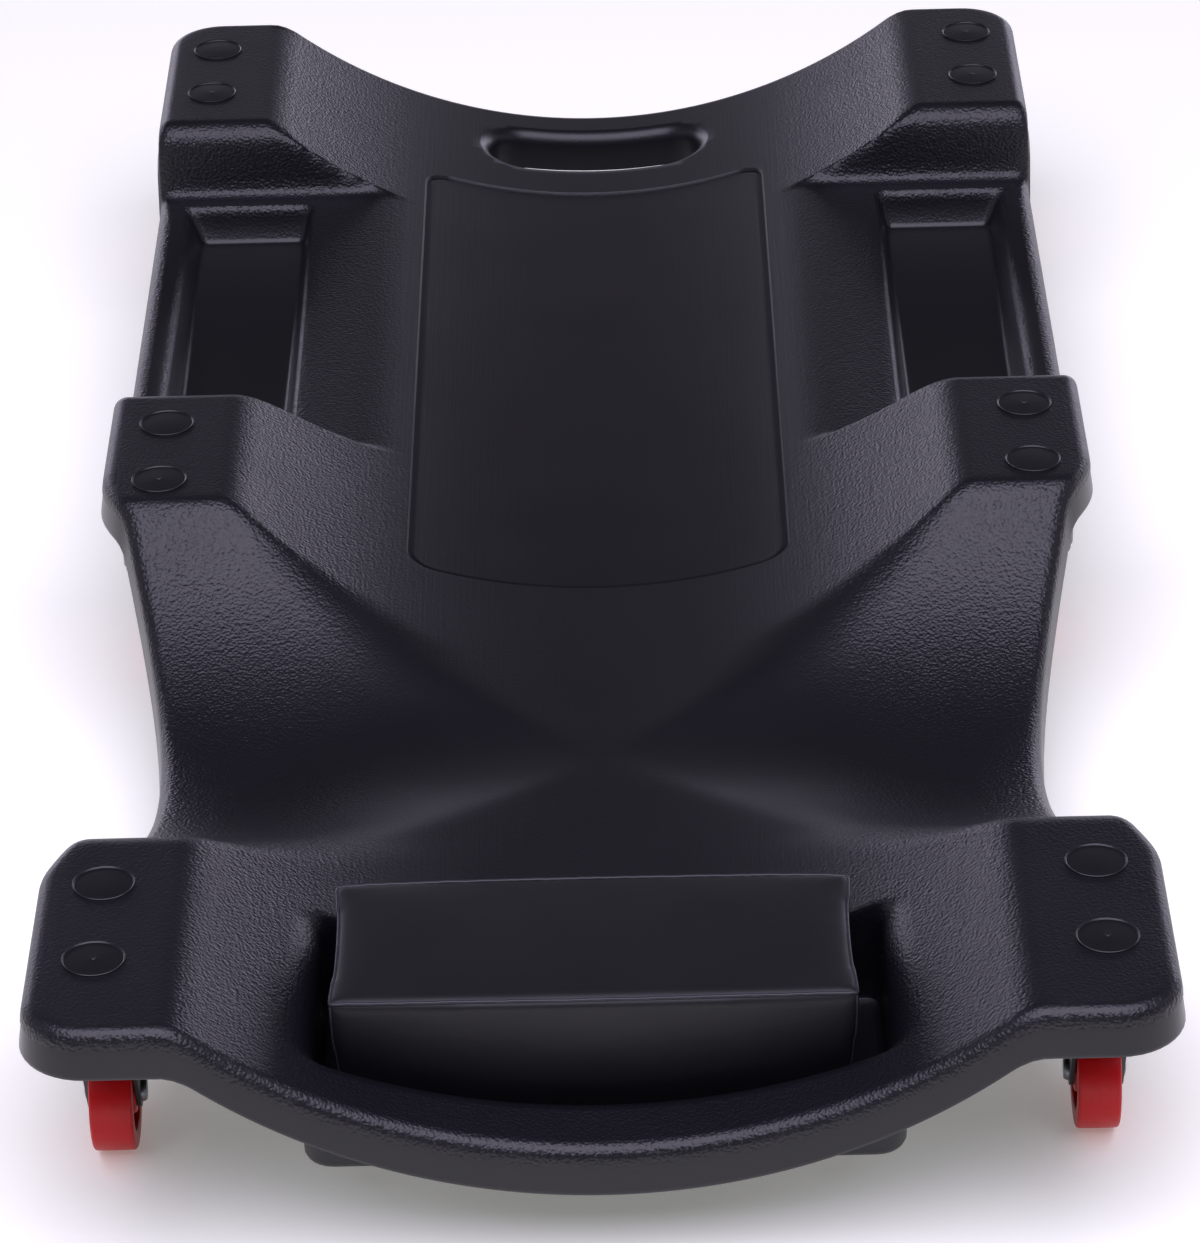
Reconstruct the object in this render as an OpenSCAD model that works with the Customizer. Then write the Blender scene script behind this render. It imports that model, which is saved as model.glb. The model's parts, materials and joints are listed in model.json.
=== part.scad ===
// Low mechanic's creeper: a moulded twin-wall deck on six swivel casters, with a padded
// headrest, two tool trays and a carrying slot. Millimetres, +Z up, +Y towards the foot end,
// origin on the floor under the centre of the deck.

/* [Deck] */
// Length of the deck from head edge to foot edge
deck_len = 1007; // [960:1:1100]
// Width of the deck over its widest corners
deck_w = 465; // [450:1:520]
// Height of the six raised caster pods above the floor
pod_top = 115; // [110:0.5:125]
// Thickness of the moulded rim, top skin to underside
rim_t = 21.5; // [19:0.5:28]
// Rounding of the rim's upper edge
rim_r = 6.5; // [5:0.5:9]
// Outward lean of the rim's smooth skirt
rim_flare = 1.5; // [0.5:0.1:3]
// Radius of the body trough that runs head to foot
trough_r = 265; // [255:1:320]
// Height of the trough's lowest line above the floor
trough_z = 54.5; // [51:0.5:60]
// Radius of the shoulder scoop that crosses the trough
scoop_r = 236; // [220:1:270]
// Width of the soft blend between the pods and the trough
pod_blend = 6; // [4:0.5:10]
// Width of the soft blend between the scoop and the trough
groin_blend = 26; // [14:1:36]
// Width of the soft blend between the tray bay and the trough
bay_blend = 8; // [5:0.5:14]
// Half width of the waist at its narrowest
waist_half = 197.5; // [190:0.5:215]
// Radius of the waist's side curve, seen from above
waist_r = 600; // [500:10:800]
// Corner radius at the head end
head_corner_r = 27; // [20:1:45]
// Corner radius at the foot end
foot_corner_r = 28; // [20:1:45]

/* [Pods] */
// Length of the head pods along the deck
head_pod_len = 152; // [142:1:165]
// Length of the middle pods along the deck
mid_pod_len = 106; // [96:1:120]
// Place of the middle pods along the deck
mid_pod_y = -6.5; // [-20:0.5:20]
// Length of the foot pods along the deck
foot_pod_len = 131; // [124:1:145]
// Run of the sloping wall at the front of a middle pod
pod_wall_run = 22; // [14:1:30]
// Run of the steeper wall between a pod and the tray bay
bay_wall_run = 17; // [12:1:24]
// How much narrower the foot half of the deck is on each side
foot_inset = 1; // [0:0.5:6]

/* [Tool trays] */
// Height of the tray bay between the middle and foot pods
bay_z = 78; // [74:0.5:84]
// Depth of each tool tray below its bay
tray_depth = 19; // [12:0.5:20]
// Width of a tray at its mouth
tray_w = 67; // [50:1:70]
// Width of a tray at its floor
tray_floor_w = 48; // [30:1:50]
// Distance from the deck's centre line to a tray's inner edge
tray_x = 149; // [140:0.5:152]
// Land between a tray's mouth and the pod walls
tray_land = 14; // [8:1:20]
// Draft of a tray's end walls and inner wall
tray_draft = 5; // [2:0.5:8]
// Thickness of the moulded floor under a tray
tray_floor_t = 4; // [3:0.5:6]

/* [Panel and slot] */
// Width of the smooth sunk panel
panel_w = 180; // [150:1:200]
// Length of the smooth sunk panel
panel_len = 439; // [380:1:460]
// Place of the panel's centre along the deck
panel_y = 179; // [170:1:190]
// Depth of the panel below the grained skin
panel_depth = 1.2; // [0.6:0.1:2]
// Corner radius of the panel
panel_r = 14; // [6:1:30]
// Length of the carrying slot across the deck
slot_len = 114; // [100:1:140]
// Width of the carrying slot
slot_w = 42; // [34:1:48]
// Distance from the foot edge to the slot's centre
slot_inset = 50.5; // [44:0.5:58]
// Flare of the slot's lip
slot_flare = 4; // [2:0.5:6]

/* [Headrest] */
// Width of the headrest cushion
pad_w = 213; // [190:1:216]
// Depth of the headrest cushion, head to foot
pad_l = 95; // [85:1:98]
// Height of the cushion's top above the floor
pad_top = 102; // [98:0.5:110]
// Crown of the cushion's top
pad_crown = 2; // [1:0.5:5]
// Gap between the cushion and the sides of its well
well_gap = 10.5; // [6:0.5:12]
// Gap between the cushion and the two ends of its well
well_end_gap = 4.5; // [4:0.5:8]
// Distance from the head edge to the cushion's centre
pad_inset = 85.5; // [82:0.5:92]
// Height of the well's floor above the ground
well_z = 34; // [32:0.5:40]
// Thickness of the moulded floor under the well
well_floor_t = 7; // [4:0.5:8]
// Thickness of the plywood board in the cushion
board_t = 9; // [6:0.5:12]

/* [Casters] */
// Height of a caster from the floor to its mounting pad
caster_h = 68; // [66:0.5:74]
// Distance from the side edge to a caster's swivel axis
caster_inset = 29; // [27:0.5:33]
// Distance from the head edge to the head casters' swivel axis
head_row_inset = 84.5; // [80:0.5:92]
// Distance from the foot edge to the foot casters' swivel axis
foot_row_inset = 68.5; // [64:0.5:76]
// Wheel diameter
wheel_d = 50; // [44:0.5:51]
// Wheel width
wheel_w = 18; // [15:0.2:21]
// Offset of the wheel axle behind the swivel axis
trail = 11; // [8:0.5:13]
// Thickness of the pressed steel of plate and fork crown
plate_t = 2.5; // [2.2:0.1:3.5]
// Thickness of a fork leg
leg_t = 1.8; // [1.2:0.1:2.5]
// Length of the mounting plate
plate_len = 76; // [72:1:84]
// Width of the mounting plate
plate_w = 38; // [38:1:46]
// Diameter of the swivel balls
ball_d = 5; // [4.6:0.1:5]
// Diameter of the circle that the swivel balls run on
ball_pcd = 28; // [26:0.5:29]
// Number of balls in a swivel bearing
ball_n = 12; // [8:1:14]

/* [Fasteners] */
// Distance between the two bolts of a caster
bolt_gap = 57; // [56:0.5:60]
// Diameter of the mounting bolts and axle bolts
bolt_d = 6; // [5:0.5:6]
// Width across the flats of the hexagon heads and nuts
hex_af = 10; // [8:0.5:10]
// Diameter of the plug caps that cover the bolt heads
cap_d = 26; // [24:0.5:28]
// Diameter of the counterbore under a plug cap
cbore_d = 20; // [18:0.5:21]
// Depth of the counterbore under a plug cap
cbore_depth = 12; // [10:0.5:14]
// Diameter of the headrest screws
screw_d = 5; // [4:0.5:6]

/* [Hidden] */
$fn = 64;

// Overrun of a cutting solid past the face that it cuts
over = deck_len / 1000;
// Facets of the circles that a hull joins
hull_fn = 32;

// Edges of the pods along the deck
head_y = -deck_len / 2;
foot_y = deck_len / 2;
head_pod_end = head_y + head_pod_len;
mid_pod_start = mid_pod_y - mid_pod_len / 2;
mid_pod_end = mid_pod_y + mid_pod_len / 2;
foot_pod_start = foot_y - foot_pod_len;
bay_start = mid_pod_end + bay_wall_run;
bay_end = foot_pod_start - bay_wall_run;

// The scoop lies a little nearer the middle pods than the head pods
scoop_shift = mid_pod_len / 10;
scoop_y = (head_pod_end + mid_pod_start) / 2 + scoop_shift;

// Drop of the skirt from the rounded edge to its foot
skirt_drop = rim_t - rim_r - 2 * rim_flare;

// Caster places; the middle row lies a little towards the head from its pods' centre
caster_x = deck_w / 2 - caster_inset;
mid_row_shift = deck_len / 1000;
rows = [head_y + head_row_inset, mid_pod_y - mid_row_shift, foot_y - foot_row_inset];
spots = [for (y = rows, side = [-1, 1]) [side * caster_x, y]];

// Heights in a caster, from the pad down
swivel_gap = ball_d * 0.4;
plate_z = caster_h - plate_t;
crown_z = plate_z - swivel_gap - plate_t;
axle_z = wheel_d / 2;
race_clear = ball_d / 100;
race_r = ball_d / 2 + race_clear;
ball_z = plate_z - swivel_gap / 2;
pin_r = ball_pcd / 7;

// Blends and shares between two values
function mix(a, b, t) = a + (b - a) * t;
function smooth01(t) = let(u = min(max(t, 0), 1)) u * u * (3 - 2 * u);
function round_fall(t) = smooth01(pow(max(t, 0), 1.8));
function soft_min(a, b, k) = k <= 0 ? min(a, b)
    : let(h = max(k - abs(a - b), 0) / k) min(a, b) - h * h * k / 4;
function span(a, b, n) = [for (i = [1:n]) mix(a, b, i / n)];

// Body trough: a circular arc across the deck
function trough(x) = trough_z + trough_r - sqrt(pow(trough_r, 2) - pow(x, 2));

// Shoulder scoop: a circular arc along the deck
scoop_reach = 0.9 * scoop_r;
function scoop(y) = let(d = min(abs(y - scoop_y), scoop_reach))
    trough_z + scoop_r - sqrt(pow(scoop_r, 2) - pow(d, 2));

// Height of the deck's side parts along its length: pod, scoop, pod, tray bay, pod
function level(y) = y < mid_pod_y
    ? mix(soft_min(pod_top, scoop(y), pod_blend), pod_top,
          smooth01((y - mid_pod_start) / pod_wall_run + 1))
    : mix(pod_top, bay_z, min(round_fall((y - mid_pod_end) / bay_wall_run),
                              round_fall((foot_pod_start - y) / bay_wall_run)));

// Blend width: narrow on the pods and in the bay, wide in the scoop, none on the trough's lowest
// line
function blend(x, y) = mix(pod_blend, y < mid_pod_y ? groin_blend : bay_blend,
                           smooth01((pod_top - level(y)) / rim_t))
    * smooth01((max(trough(x), level(y)) - trough_z) / rim_t);
function skin(x, y) = soft_min(trough(x), level(y), blend(x, y));

// Half width of the deck along its length, seen from above
waist_y = scoop_y - scoop_r / 8;
waist_reach = 0.9 * waist_r;
taper_from = head_pod_end + 0.23 * head_pod_len;
taper_to = head_pod_end - 0.19 * head_pod_len;
corner_from = mid_pod_start - 0.04 * mid_pod_len;
corner_to = mid_pod_start + 0.21 * mid_pod_len;
function waist(y) = let(d = min(abs(y - waist_y), waist_reach))
    waist_half + waist_r - sqrt(pow(waist_r, 2) - pow(d, 2));
function corner(t, r) = t <= 0 ? 0 : r - sqrt(max(pow(r, 2) - pow(t, 2), 0));
function pod_share(y) = max(smooth01((taper_from - y) / (taper_from - taper_to)),
                            smooth01((y - corner_from) / (corner_to - corner_from)));
function half_w(y) = mix(min(deck_w / 2, waist(y)), deck_w / 2, pod_share(y))
    - foot_inset * smooth01((y - mid_pod_end) / pod_wall_run)
    - rim_flare
    - corner(head_y + rim_flare + head_corner_r - y, head_corner_r)
    - corner(y - foot_y + rim_flare + foot_corner_r, foot_corner_r);

// Drop of the skin near the deck's edge: a quarter round
function edge_drop(d) = d >= rim_r ? 0 : rim_r - sqrt(pow(rim_r, 2) - pow(rim_r - d, 2));

// Stations along the deck, close where the form bends and far apart where it is straight
end_y = foot_y - rim_flare;
edge_steps = [for (a = [0:30:90]) rim_r * (1 - cos(a))];
ys = concat([for (e = edge_steps) -end_y + e],
    span(rim_r - end_y, head_corner_r - end_y, 4),
    span(head_corner_r - end_y, taper_to, 2),
    span(taper_to, taper_from, 6),
    span(taper_from, mid_pod_start - pod_wall_run, 18),
    span(mid_pod_start - pod_wall_run, mid_pod_start, 6),
    span(mid_pod_start, corner_to, 4),
    span(corner_to, mid_pod_end, 3),
    span(mid_pod_end, bay_start, 7),
    span(bay_start, bay_end, 3),
    span(bay_end, foot_pod_start, 7),
    span(foot_pod_start, end_y - foot_corner_r, 2),
    span(end_y - foot_corner_r, end_y - rim_r, 4),
    [for (i = [2:-1:0]) end_y - edge_steps[i]]);

// Columns across the deck: even over the trough, close at the pods' inner edge
inner_shares = concat([0], span(0, 0.66, 8), span(0.66, 0.8, 6), [0.88, 1]);
function half_row(w) = concat([for (s = inner_shares) s * (w - rim_r)],
                              [for (i = [2:-1:0]) w - edge_steps[i]]);
function row_x(w) = let(h = half_row(w), n = len(h) - 1)
    concat([for (i = [n:-1:1]) -h[i]], h);

// Flat foot of the form in strips from side to side; its points run round from the first row
function foot_faces(b, nx, ny) =
    let(right = function(j) b + nx - 1 + j, left = function(j) b + (j == 0 ? 0 : 2 * (nx + ny - 2) - j))
    concat([for (i = [0:nx - 2]) [left(1), b + i, b + i + 1]],
        [[left(1), right(0), right(1)]],
        [for (j = [1:ny - 3]) each [[left(j), right(j), right(j + 1)],
                                    [left(j), right(j + 1), left(j + 1)]]],
        [for (i = [0:nx - 2]) let(k = b + nx + ny - 2 + i) [left(ny - 2), k, k + 1]],
        [[left(ny - 2), right(ny - 2), right(ny - 1)]]);

// The deck's outer form: the skin, its rounded edge, a flared skirt and a flat foot
module deck_form() {
    nx = len(row_x(deck_w));
    ny = len(ys);
    grid = [for (y = ys) let(w = half_w(y), e = end_y - abs(y))
        for (x = row_x(w)) [x, y, skin(x, y) - edge_drop(min(w - abs(x), e))]];
    ring = concat([for (i = [0:nx - 1]) i],
        [for (j = [1:ny - 1]) j * nx + nx - 1],
        [for (i = [nx - 2:-1:0]) (ny - 1) * nx + i],
        [for (j = [ny - 2:-1:1]) j * nx]);
    n = len(ring);
    skirt = [for (k = ring) let(p = grid[k], i = k % nx, j = floor(k / nx))
        [p.x + (i == 0 ? -rim_flare : i == nx - 1 ? rim_flare : 0),
         p.y + (j == 0 ? -rim_flare : j == ny - 1 ? rim_flare : 0), p.z - skirt_drop]];
    foot = [for (p = skirt) [p.x, p.y, form_z]];
    b = nx * ny;
    faces = concat(
        [for (j = [0:ny - 2], i = [0:nx - 2]) let(a = j * nx + i)
            each i < (nx - 1) / 2
                ? [[a, a + nx, a + nx + 1], [a, a + nx + 1, a + 1]]
                : [[a, a + nx, a + 1], [a + nx, a + nx + 1, a + 1]]],
        [for (k = [0:n - 1]) let(m = (k + 1) % n)
            each [[ring[k], ring[m], b + m], [ring[k], b + m, b + k],
                  [b + k, b + m, b + n + m], [b + k, b + n + m, b + n + k]]],
        foot_faces(b + n, nx, ny));
    polyhedron(concat(grid, skirt, foot), faces, convexity = 8);
}
boss_z = well_z - well_floor_t;
form_z = boss_z - over;

// Rectangle with round corners, centred
module rounded_rect(w, l, r) {
    square([w - 2 * r, l], center = true);
    square([w, l - 2 * r], center = true);
    for (sx = [-1, 1], sy = [-1, 1])
        translate([sx * (w / 2 - r), sy * (l / 2 - r)]) circle(r);
}

// Everything above the deck's underside, which follows the skin about one rim thickness lower
scoop_under_r = scoop_r + 0.88 * rim_t;
module above_underside() {
    sky = pod_top + over;
    translate([0, head_y - over, trough_z + trough_r]) rotate([-90, 0, 0])
        cylinder(r = trough_r + rim_t, h = deck_len + 2 * over, $fn = 180);
    translate([-deck_w / 2 - over, scoop_y, trough_z + scoop_r]) rotate([0, 90, 0])
        cylinder(r = scoop_under_r, h = deck_w + 2 * over, $fn = 180);
    translate([-deck_w / 2 - over, head_y - over, pod_top - rim_t])
        cube([deck_w + 2 * over, deck_len + 2 * over, rim_t + over]);
    translate([-deck_w / 2 - over, mid_pod_end - rim_r, bay_z - rim_t])
        cube([deck_w + 2 * over, foot_pod_start - mid_pod_end + 2 * rim_r,
              sky - bay_z + rim_t]);
}

// Pads that the casters bolt to, moulded down from the pods
pad_margin = plate_w / 10;
plate_corner = plate_w / 2.3;
module pad_columns(from_z, to_z) {
    for (s = spots) translate([s.x, s.y, from_z]) linear_extrude(to_z - from_z)
        rounded_rect(plate_w + 2 * pad_margin, plate_len + 2 * pad_margin,
                     plate_corner + pad_margin);
}
module caster_pads() {
    pad_columns(caster_h, pod_top - rim_r);
}

// Space kept free below the pads, where a narrow or short deck would reach the plates
module plate_space() {
    pad_columns(form_z - over, caster_h);
}

// Headrest well and the box moulded round it, both drafted up to the trough's lowest line; the
// well's front wall bows towards the cushion
well_draft = pad_l / 60;
well_w = pad_w + 2 * well_gap;
well_l = pad_l + 2 * well_end_gap;
pad_y = head_y + pad_inset;
well_y = pad_y + pad_l / 50;
well_wall = rim_t * 0.28;
well_r = rim_r;
well_bow = well_l / 20;
bow_r = (pow(well_w / 2, 2) + pow(well_bow, 2)) / (2 * well_bow);
module well_form(from_z, grow) {
    hull() {
        translate([0, well_y, from_z]) linear_extrude(over)
            rounded_rect(well_w + 2 * grow - well_draft / 2, well_l + 2 * grow - 2 * well_draft,
                         well_r + grow, $fn = hull_fn);
        translate([0, well_y, trough_z]) linear_extrude(over)
            rounded_rect(well_w + 2 * grow, well_l + 2 * grow, well_r + grow, $fn = hull_fn);
    }
}
module well_boss() {
    well_form(boss_z, well_wall);
}
module deck_well() {
    difference() {
        union() {
            well_form(well_z, 0);
            translate([0, well_y, trough_z]) linear_extrude(pod_top - trough_z + over)
                rounded_rect(well_w, well_l, well_r);
        }
        translate([0, well_y - well_l / 2 + well_bow - bow_r, form_z])
            cylinder(r = bow_r, h = pod_top, $fn = 360);
    }
}

// One tool tray: a drafted pocket with a gently sloped outer wall, and the floor moulded under it
tray_len = bay_end - bay_start - 2 * tray_land;
tray_y = (bay_start + bay_end) / 2;
floor_x = tray_x + tray_draft + tray_floor_w / 2;
module tray_boss() {
    translate([floor_x, tray_y, bay_z - tray_depth - tray_floor_t]) linear_extrude(tray_depth)
        rounded_rect(tray_floor_w + 2 * tray_floor_t,
                     tray_len - 2 * tray_draft + 2 * tray_floor_t, rim_r);
}
module tray_pocket() {
    hull() {
        translate([tray_x + tray_w / 2, tray_y, bay_z])
            linear_extrude(over) rounded_rect(tray_w, tray_len, rim_r / 2, $fn = hull_fn);
        translate([floor_x, tray_y, bay_z - tray_depth]) linear_extrude(over)
            rounded_rect(tray_floor_w, tray_len - 2 * tray_draft, rim_r / 3, $fn = hull_fn);
    }
}

// Smooth panel, sunk by an even depth into the curved skin
module panel_recess() {
    intersection() {
        translate([0, panel_y, trough_z - rim_t / 2]) linear_extrude(pod_top)
            rounded_rect(panel_w, panel_len, panel_r);
        translate([0, head_y, trough_z + trough_r]) rotate([-90, 0, 0])
            cylinder(r = trough_r + panel_depth, h = deck_len, $fn = 180);
    }
}

// Carrying slot with its flared lip
slot_y = foot_y - slot_inset;
module carry_slot() {
    slot_r = slot_w / 2 - over;
    translate([0, slot_y, form_z]) linear_extrude(pod_top)
        rounded_rect(slot_len, slot_w, slot_r);
    hull() {
        translate([0, slot_y, trough_z - 2 * slot_flare]) linear_extrude(over)
            rounded_rect(slot_len, slot_w, slot_r, $fn = hull_fn);
        translate([0, slot_y, trough_z + 3 * slot_flare]) linear_extrude(over)
            rounded_rect(slot_len + 5 * slot_flare, slot_w + 5 * slot_flare,
                         slot_r + 2.5 * slot_flare, $fn = hull_fn);
    }
}

// Bolt places of one caster, along the deck
module at_bolts() {
    for (s = spots, side = [-1, 1]) translate([s.x, s.y + side * bolt_gap / 2, 0]) children();
}
hole_r = bolt_d / 2 + 0.05 * bolt_d;

module deck() {
    color("#232328") difference() {
        intersection() {
            deck_form();
            union() {
                difference() {
                    above_underside();
                    plate_space();
                }
                caster_pads();
                well_boss();
                for (side = [0, 1]) mirror([side, 0, 0]) tray_boss();
            }
        }
        deck_well();
        for (side = [0, 1]) mirror([side, 0, 0]) tray_pocket();
        panel_recess();
        carry_slot();
        at_bolts() {
            translate([0, 0, pod_top - cbore_depth]) cylinder(d = cbore_d, h = rim_t);
            translate([0, 0, form_z]) cylinder(r = hole_r, h = pod_top);
        }
        at_screws() cylinder(r = screw_d * 0.55, h = well_z + over);
    }
}

// Plug caps: a domed disc with a hollow skirt that plugs the counterbore
cap_t = cap_d / 26;
cap_fit = cbore_d / 200;
cap_dome = cap_t * 0.8;
module cap_plugs() {
    sphere_r = (pow(cap_d / 2, 2) + pow(cap_dome, 2)) / (2 * cap_dome);
    skirt_t = cbore_d / 12;
    skirt_h = cbore_depth * 0.4;
    color("#1b1b1e") at_bolts() translate([0, 0, pod_top]) {
        intersection() {
            cylinder(d = cap_d, h = cap_t);
            translate([0, 0, cap_t - sphere_r]) sphere(sphere_r, $fn = 180);
        }
        difference() {
            translate([0, 0, -skirt_h]) cylinder(r = cbore_d / 2 - cap_fit, h = skirt_h + over / 5);
            translate([0, 0, -skirt_h - over])
                cylinder(r = cbore_d / 2 - cap_fit - skirt_t, h = skirt_h + over);
        }
    }
}

// Bolts that hold the casters: head up in the counterbore, nut below the plate
washer_t = bolt_d / 4;
head_h = bolt_d * 2 / 3;
nut_h = bolt_d * 5 / 6;
hex_d = hex_af / cos(30);
seat_z = pod_top - cbore_depth;
module hex_head(af_d, h) {
    intersection() {
        cylinder(d = af_d, h = h, $fn = 6);
        translate([0, 0, h - af_d * 0.85]) sphere(r = af_d * 0.95, $fn = 96);
    }
}
module mount_bolts() {
    end_z = plate_z - nut_h - bolt_d / 4;
    color("#b9bcc0") at_bolts() {
        translate([0, 0, seat_z + washer_t]) hex_head(hex_d, head_h);
        translate([0, 0, end_z]) cylinder(d = bolt_d, h = seat_z + washer_t - end_z);
    }
}
module washer(r_out, r_in, t) {
    difference() {
        cylinder(r = r_out, h = t);
        translate([0, 0, -over]) cylinder(r = r_in, h = t + 2 * over);
    }
}
module mount_washers() {
    color("#c3c6ca") at_bolts() translate([0, 0, seat_z]) washer(cbore_d * 0.45, hole_r, washer_t);
}
thread_gap = bolt_d / 100;
module mount_nuts() {
    color("#b4b7bb") at_bolts() translate([0, 0, plate_z - nut_h]) difference() {
        cylinder(d = hex_d, h = nut_h, $fn = 6);
        translate([0, 0, -over]) cylinder(r = bolt_d / 2 + thread_gap, h = nut_h + 2 * over);
    }
}

// Headrest: vinyl covered foam round a plywood board, screwed down from below
board_margin = pad_w / 20;
cover_lap = board_t / 40;
pad_base = well_z + cover_lap;
pad_corner = pad_w / 26;
pad_edge = pad_w / 60;
pad_draw = pad_w / 90;
pad_taper = pad_w / 30;
screw_x = pad_w / 3;
screw_y = pad_l / 4;
module at_screws() {
    for (sx = [-1, 1], sy = [-1, 1]) translate([sx * screw_x, pad_y + sy * screw_y, 0]) children();
}

// One level of the cushion seen from above: round corners, sides drawn in between them
function pad_ring(inset, scale) = let(r = pad_corner) [for (k = [0:3])
    let(sx = [1, -1, -1, 1][k], sy = [1, 1, -1, -1][k],
        c = [sx * (pad_w / 2 - inset - r), sy * (pad_l / 2 - inset - r)],
        far = k % 2 == 0 ? [-c.x, c.y] : [c.x, -c.y],
        out = [cos(90 * k + 90), sin(90 * k + 90)])
    each concat([for (a = [0:4]) scale * (c + r * [cos(90 * k + 22.5 * a), sin(90 * k + 22.5 * a)])],
        [for (i = [1:5]) scale * (mix(c, far, i / 6) + out * (r - pad_draw * sin(30 * i)))])];
function crown_drop(p) = pad_crown
    * (1 - (1 - pow(2 * p.x / pad_w, 2)) * (1 - pow(2 * p.y / pad_l, 2)));
module cushion_form() {
    edge_z = pad_top - pad_edge;
    sides = [for (t = [0, 0.08, 0.25, 0.5, 0.75, 1])
        let(dip = t == 0 ? pad_taper + pad_edge / 4 : pad_taper * pow(1 - t, 2))
        [for (p = pad_ring(dip, 1)) [p.x, p.y, mix(pad_base, edge_z - crown_drop(p), t)]]];
    rim = [for (a = [30, 60, 90]) [for (p = pad_ring(pad_edge * (1 - cos(a)), 1))
        [p.x, p.y, edge_z + pad_edge * sin(a) - crown_drop(p)]]];
    top = [for (f = [0.8, 0.55, 0.3]) [for (p = pad_ring(pad_edge, f))
        [p.x, p.y, pad_top - crown_drop(p)]]];
    rings = concat(sides, rim, top);
    m = len(rings[0]);
    n = len(rings);
    points = concat([for (ring = rings) each ring], [[0, 0, pad_top]]);
    faces = concat([[for (i = [0:m - 1]) i]],
        [for (j = [0:n - 2], i = [0:m - 1]) let(a = j * m + i, b = j * m + (i + 1) % m)
            each [[a, a + m, b + m], [a, b + m, b]]],
        [for (i = [0:m - 1]) [(n - 1) * m + i, n * m, (n - 1) * m + (i + 1) % m]]);
    translate([0, pad_y, 0]) polyhedron(points, faces, convexity = 4);
}
tee_flange_r = screw_d * 1.6;
tee_flange_t = screw_d * 0.24;
tee_barrel_r = screw_d * 0.78;
board_top = well_z + board_t;
module headrest_cushion() {
    board_w = pad_w - 2 * board_margin;
    board_l = pad_l - 2 * board_margin;
    color("#1d1d20") difference() {
        cushion_form();
        translate([-board_w / 2, pad_y - board_l / 2, well_z - over])
            cube([board_w, board_l, board_t + over]);
        at_screws() translate([0, 0, board_top - over])
            cylinder(r = tee_flange_r + thread_gap, h = over + tee_flange_t + thread_gap);
        at_screws() cylinder(r = screw_d / 2 + thread_gap, h = board_top + screw_d);
    }
}
module headrest_board() {
    color("#b98f5d") difference() {
        translate([board_margin - pad_w / 2, pad_y - pad_l / 2 + board_margin, well_z])
            cube([pad_w - 2 * board_margin, pad_l - 2 * board_margin, board_t]);
        at_screws() cylinder(r = tee_barrel_r + thread_gap, h = board_top + over);
    }
}
module headrest_tee_nuts() {
    color("#a9acb0") at_screws() difference() {
        union() {
            translate([0, 0, board_top]) cylinder(r = tee_flange_r, h = tee_flange_t);
            translate([0, 0, board_top - board_t * 0.75])
                cylinder(r = tee_barrel_r, h = board_t * 0.75);
        }
        cylinder(r = screw_d / 2 + thread_gap, h = pad_top);
    }
}
screw_washer_t = screw_d / 4;
module headrest_washers() {
    color("#c3c6ca") at_screws() translate([0, 0, boss_z - screw_washer_t])
        washer(screw_d * 1.5, screw_d * 0.55, screw_washer_t);
}
module headrest_screws() {
    head_r = screw_d;
    head_t = screw_d * 0.7;
    ball = (pow(head_r, 2) + pow(head_t, 2)) / (2 * head_t);
    under = boss_z - screw_washer_t;
    color("#b9bcc0") at_screws() {
        translate([0, 0, under]) cylinder(d = screw_d, h = board_top + screw_d / 2 - under);
        intersection() {
            translate([0, 0, under - head_t]) cylinder(r = head_r, h = head_t);
            translate([0, 0, under - head_t + ball]) sphere(ball, $fn = 96);
        }
    }
}

// Swivel head of a caster: plate above, balls between, fork crown below, one king pin
pin_head_r = pin_r * 1.55;
pin_fit = pin_r / 50;
module king_pin_form(grow) {
    cylinder(r = pin_r + grow, h = caster_h);
    translate([0, 0, plate_z]) cylinder(r1 = pin_r + grow, r2 = pin_head_r + grow, h = plate_t);
}
module race(z) {
    translate([0, 0, z]) rotate_extrude() translate([ball_pcd / 2, 0]) circle(race_r);
}
module plate(s) {
    color("#2b2c30") translate([s.x, s.y, 0]) difference() {
        translate([0, 0, plate_z]) linear_extrude(plate_t)
            rounded_rect(plate_w, plate_len, plate_corner);
        king_pin_form(pin_fit);
        race(ball_z);
        for (side = [-1, 1]) translate([0, side * bolt_gap / 2, 0])
            cylinder(r = hole_r, h = caster_h + over);
    }
}
swivel_play = swivel_gap * 0.15;
module kingpins() {
    foot_r = pin_r * 1.8;
    foot_t = plate_t * 0.9;
    ball = foot_r * 1.6;
    foot_z = crown_z - swivel_play - foot_t;
    color("#9da0a5") for (s = spots) translate([s.x, s.y, 0]) {
        intersection() {
            king_pin_form(0);
            translate([0, 0, foot_z + foot_t / 2]) cylinder(r = foot_r, h = caster_h - foot_z
                - foot_t / 2 - race_clear);
        }
        intersection() {
            translate([0, 0, foot_z]) cylinder(r = foot_r, h = foot_t);
            translate([0, 0, foot_z + ball]) sphere(ball, $fn = 96);
        }
    }
}
module swivel_balls() {
    color("#d0d2d6") for (s = spots, i = [0:ball_n - 1]) translate([s.x, s.y, ball_z])
        rotate(360 * i / ball_n) translate([ball_pcd / 2, 0, 0]) sphere(d = ball_d, $fn = 24);
}

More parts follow.
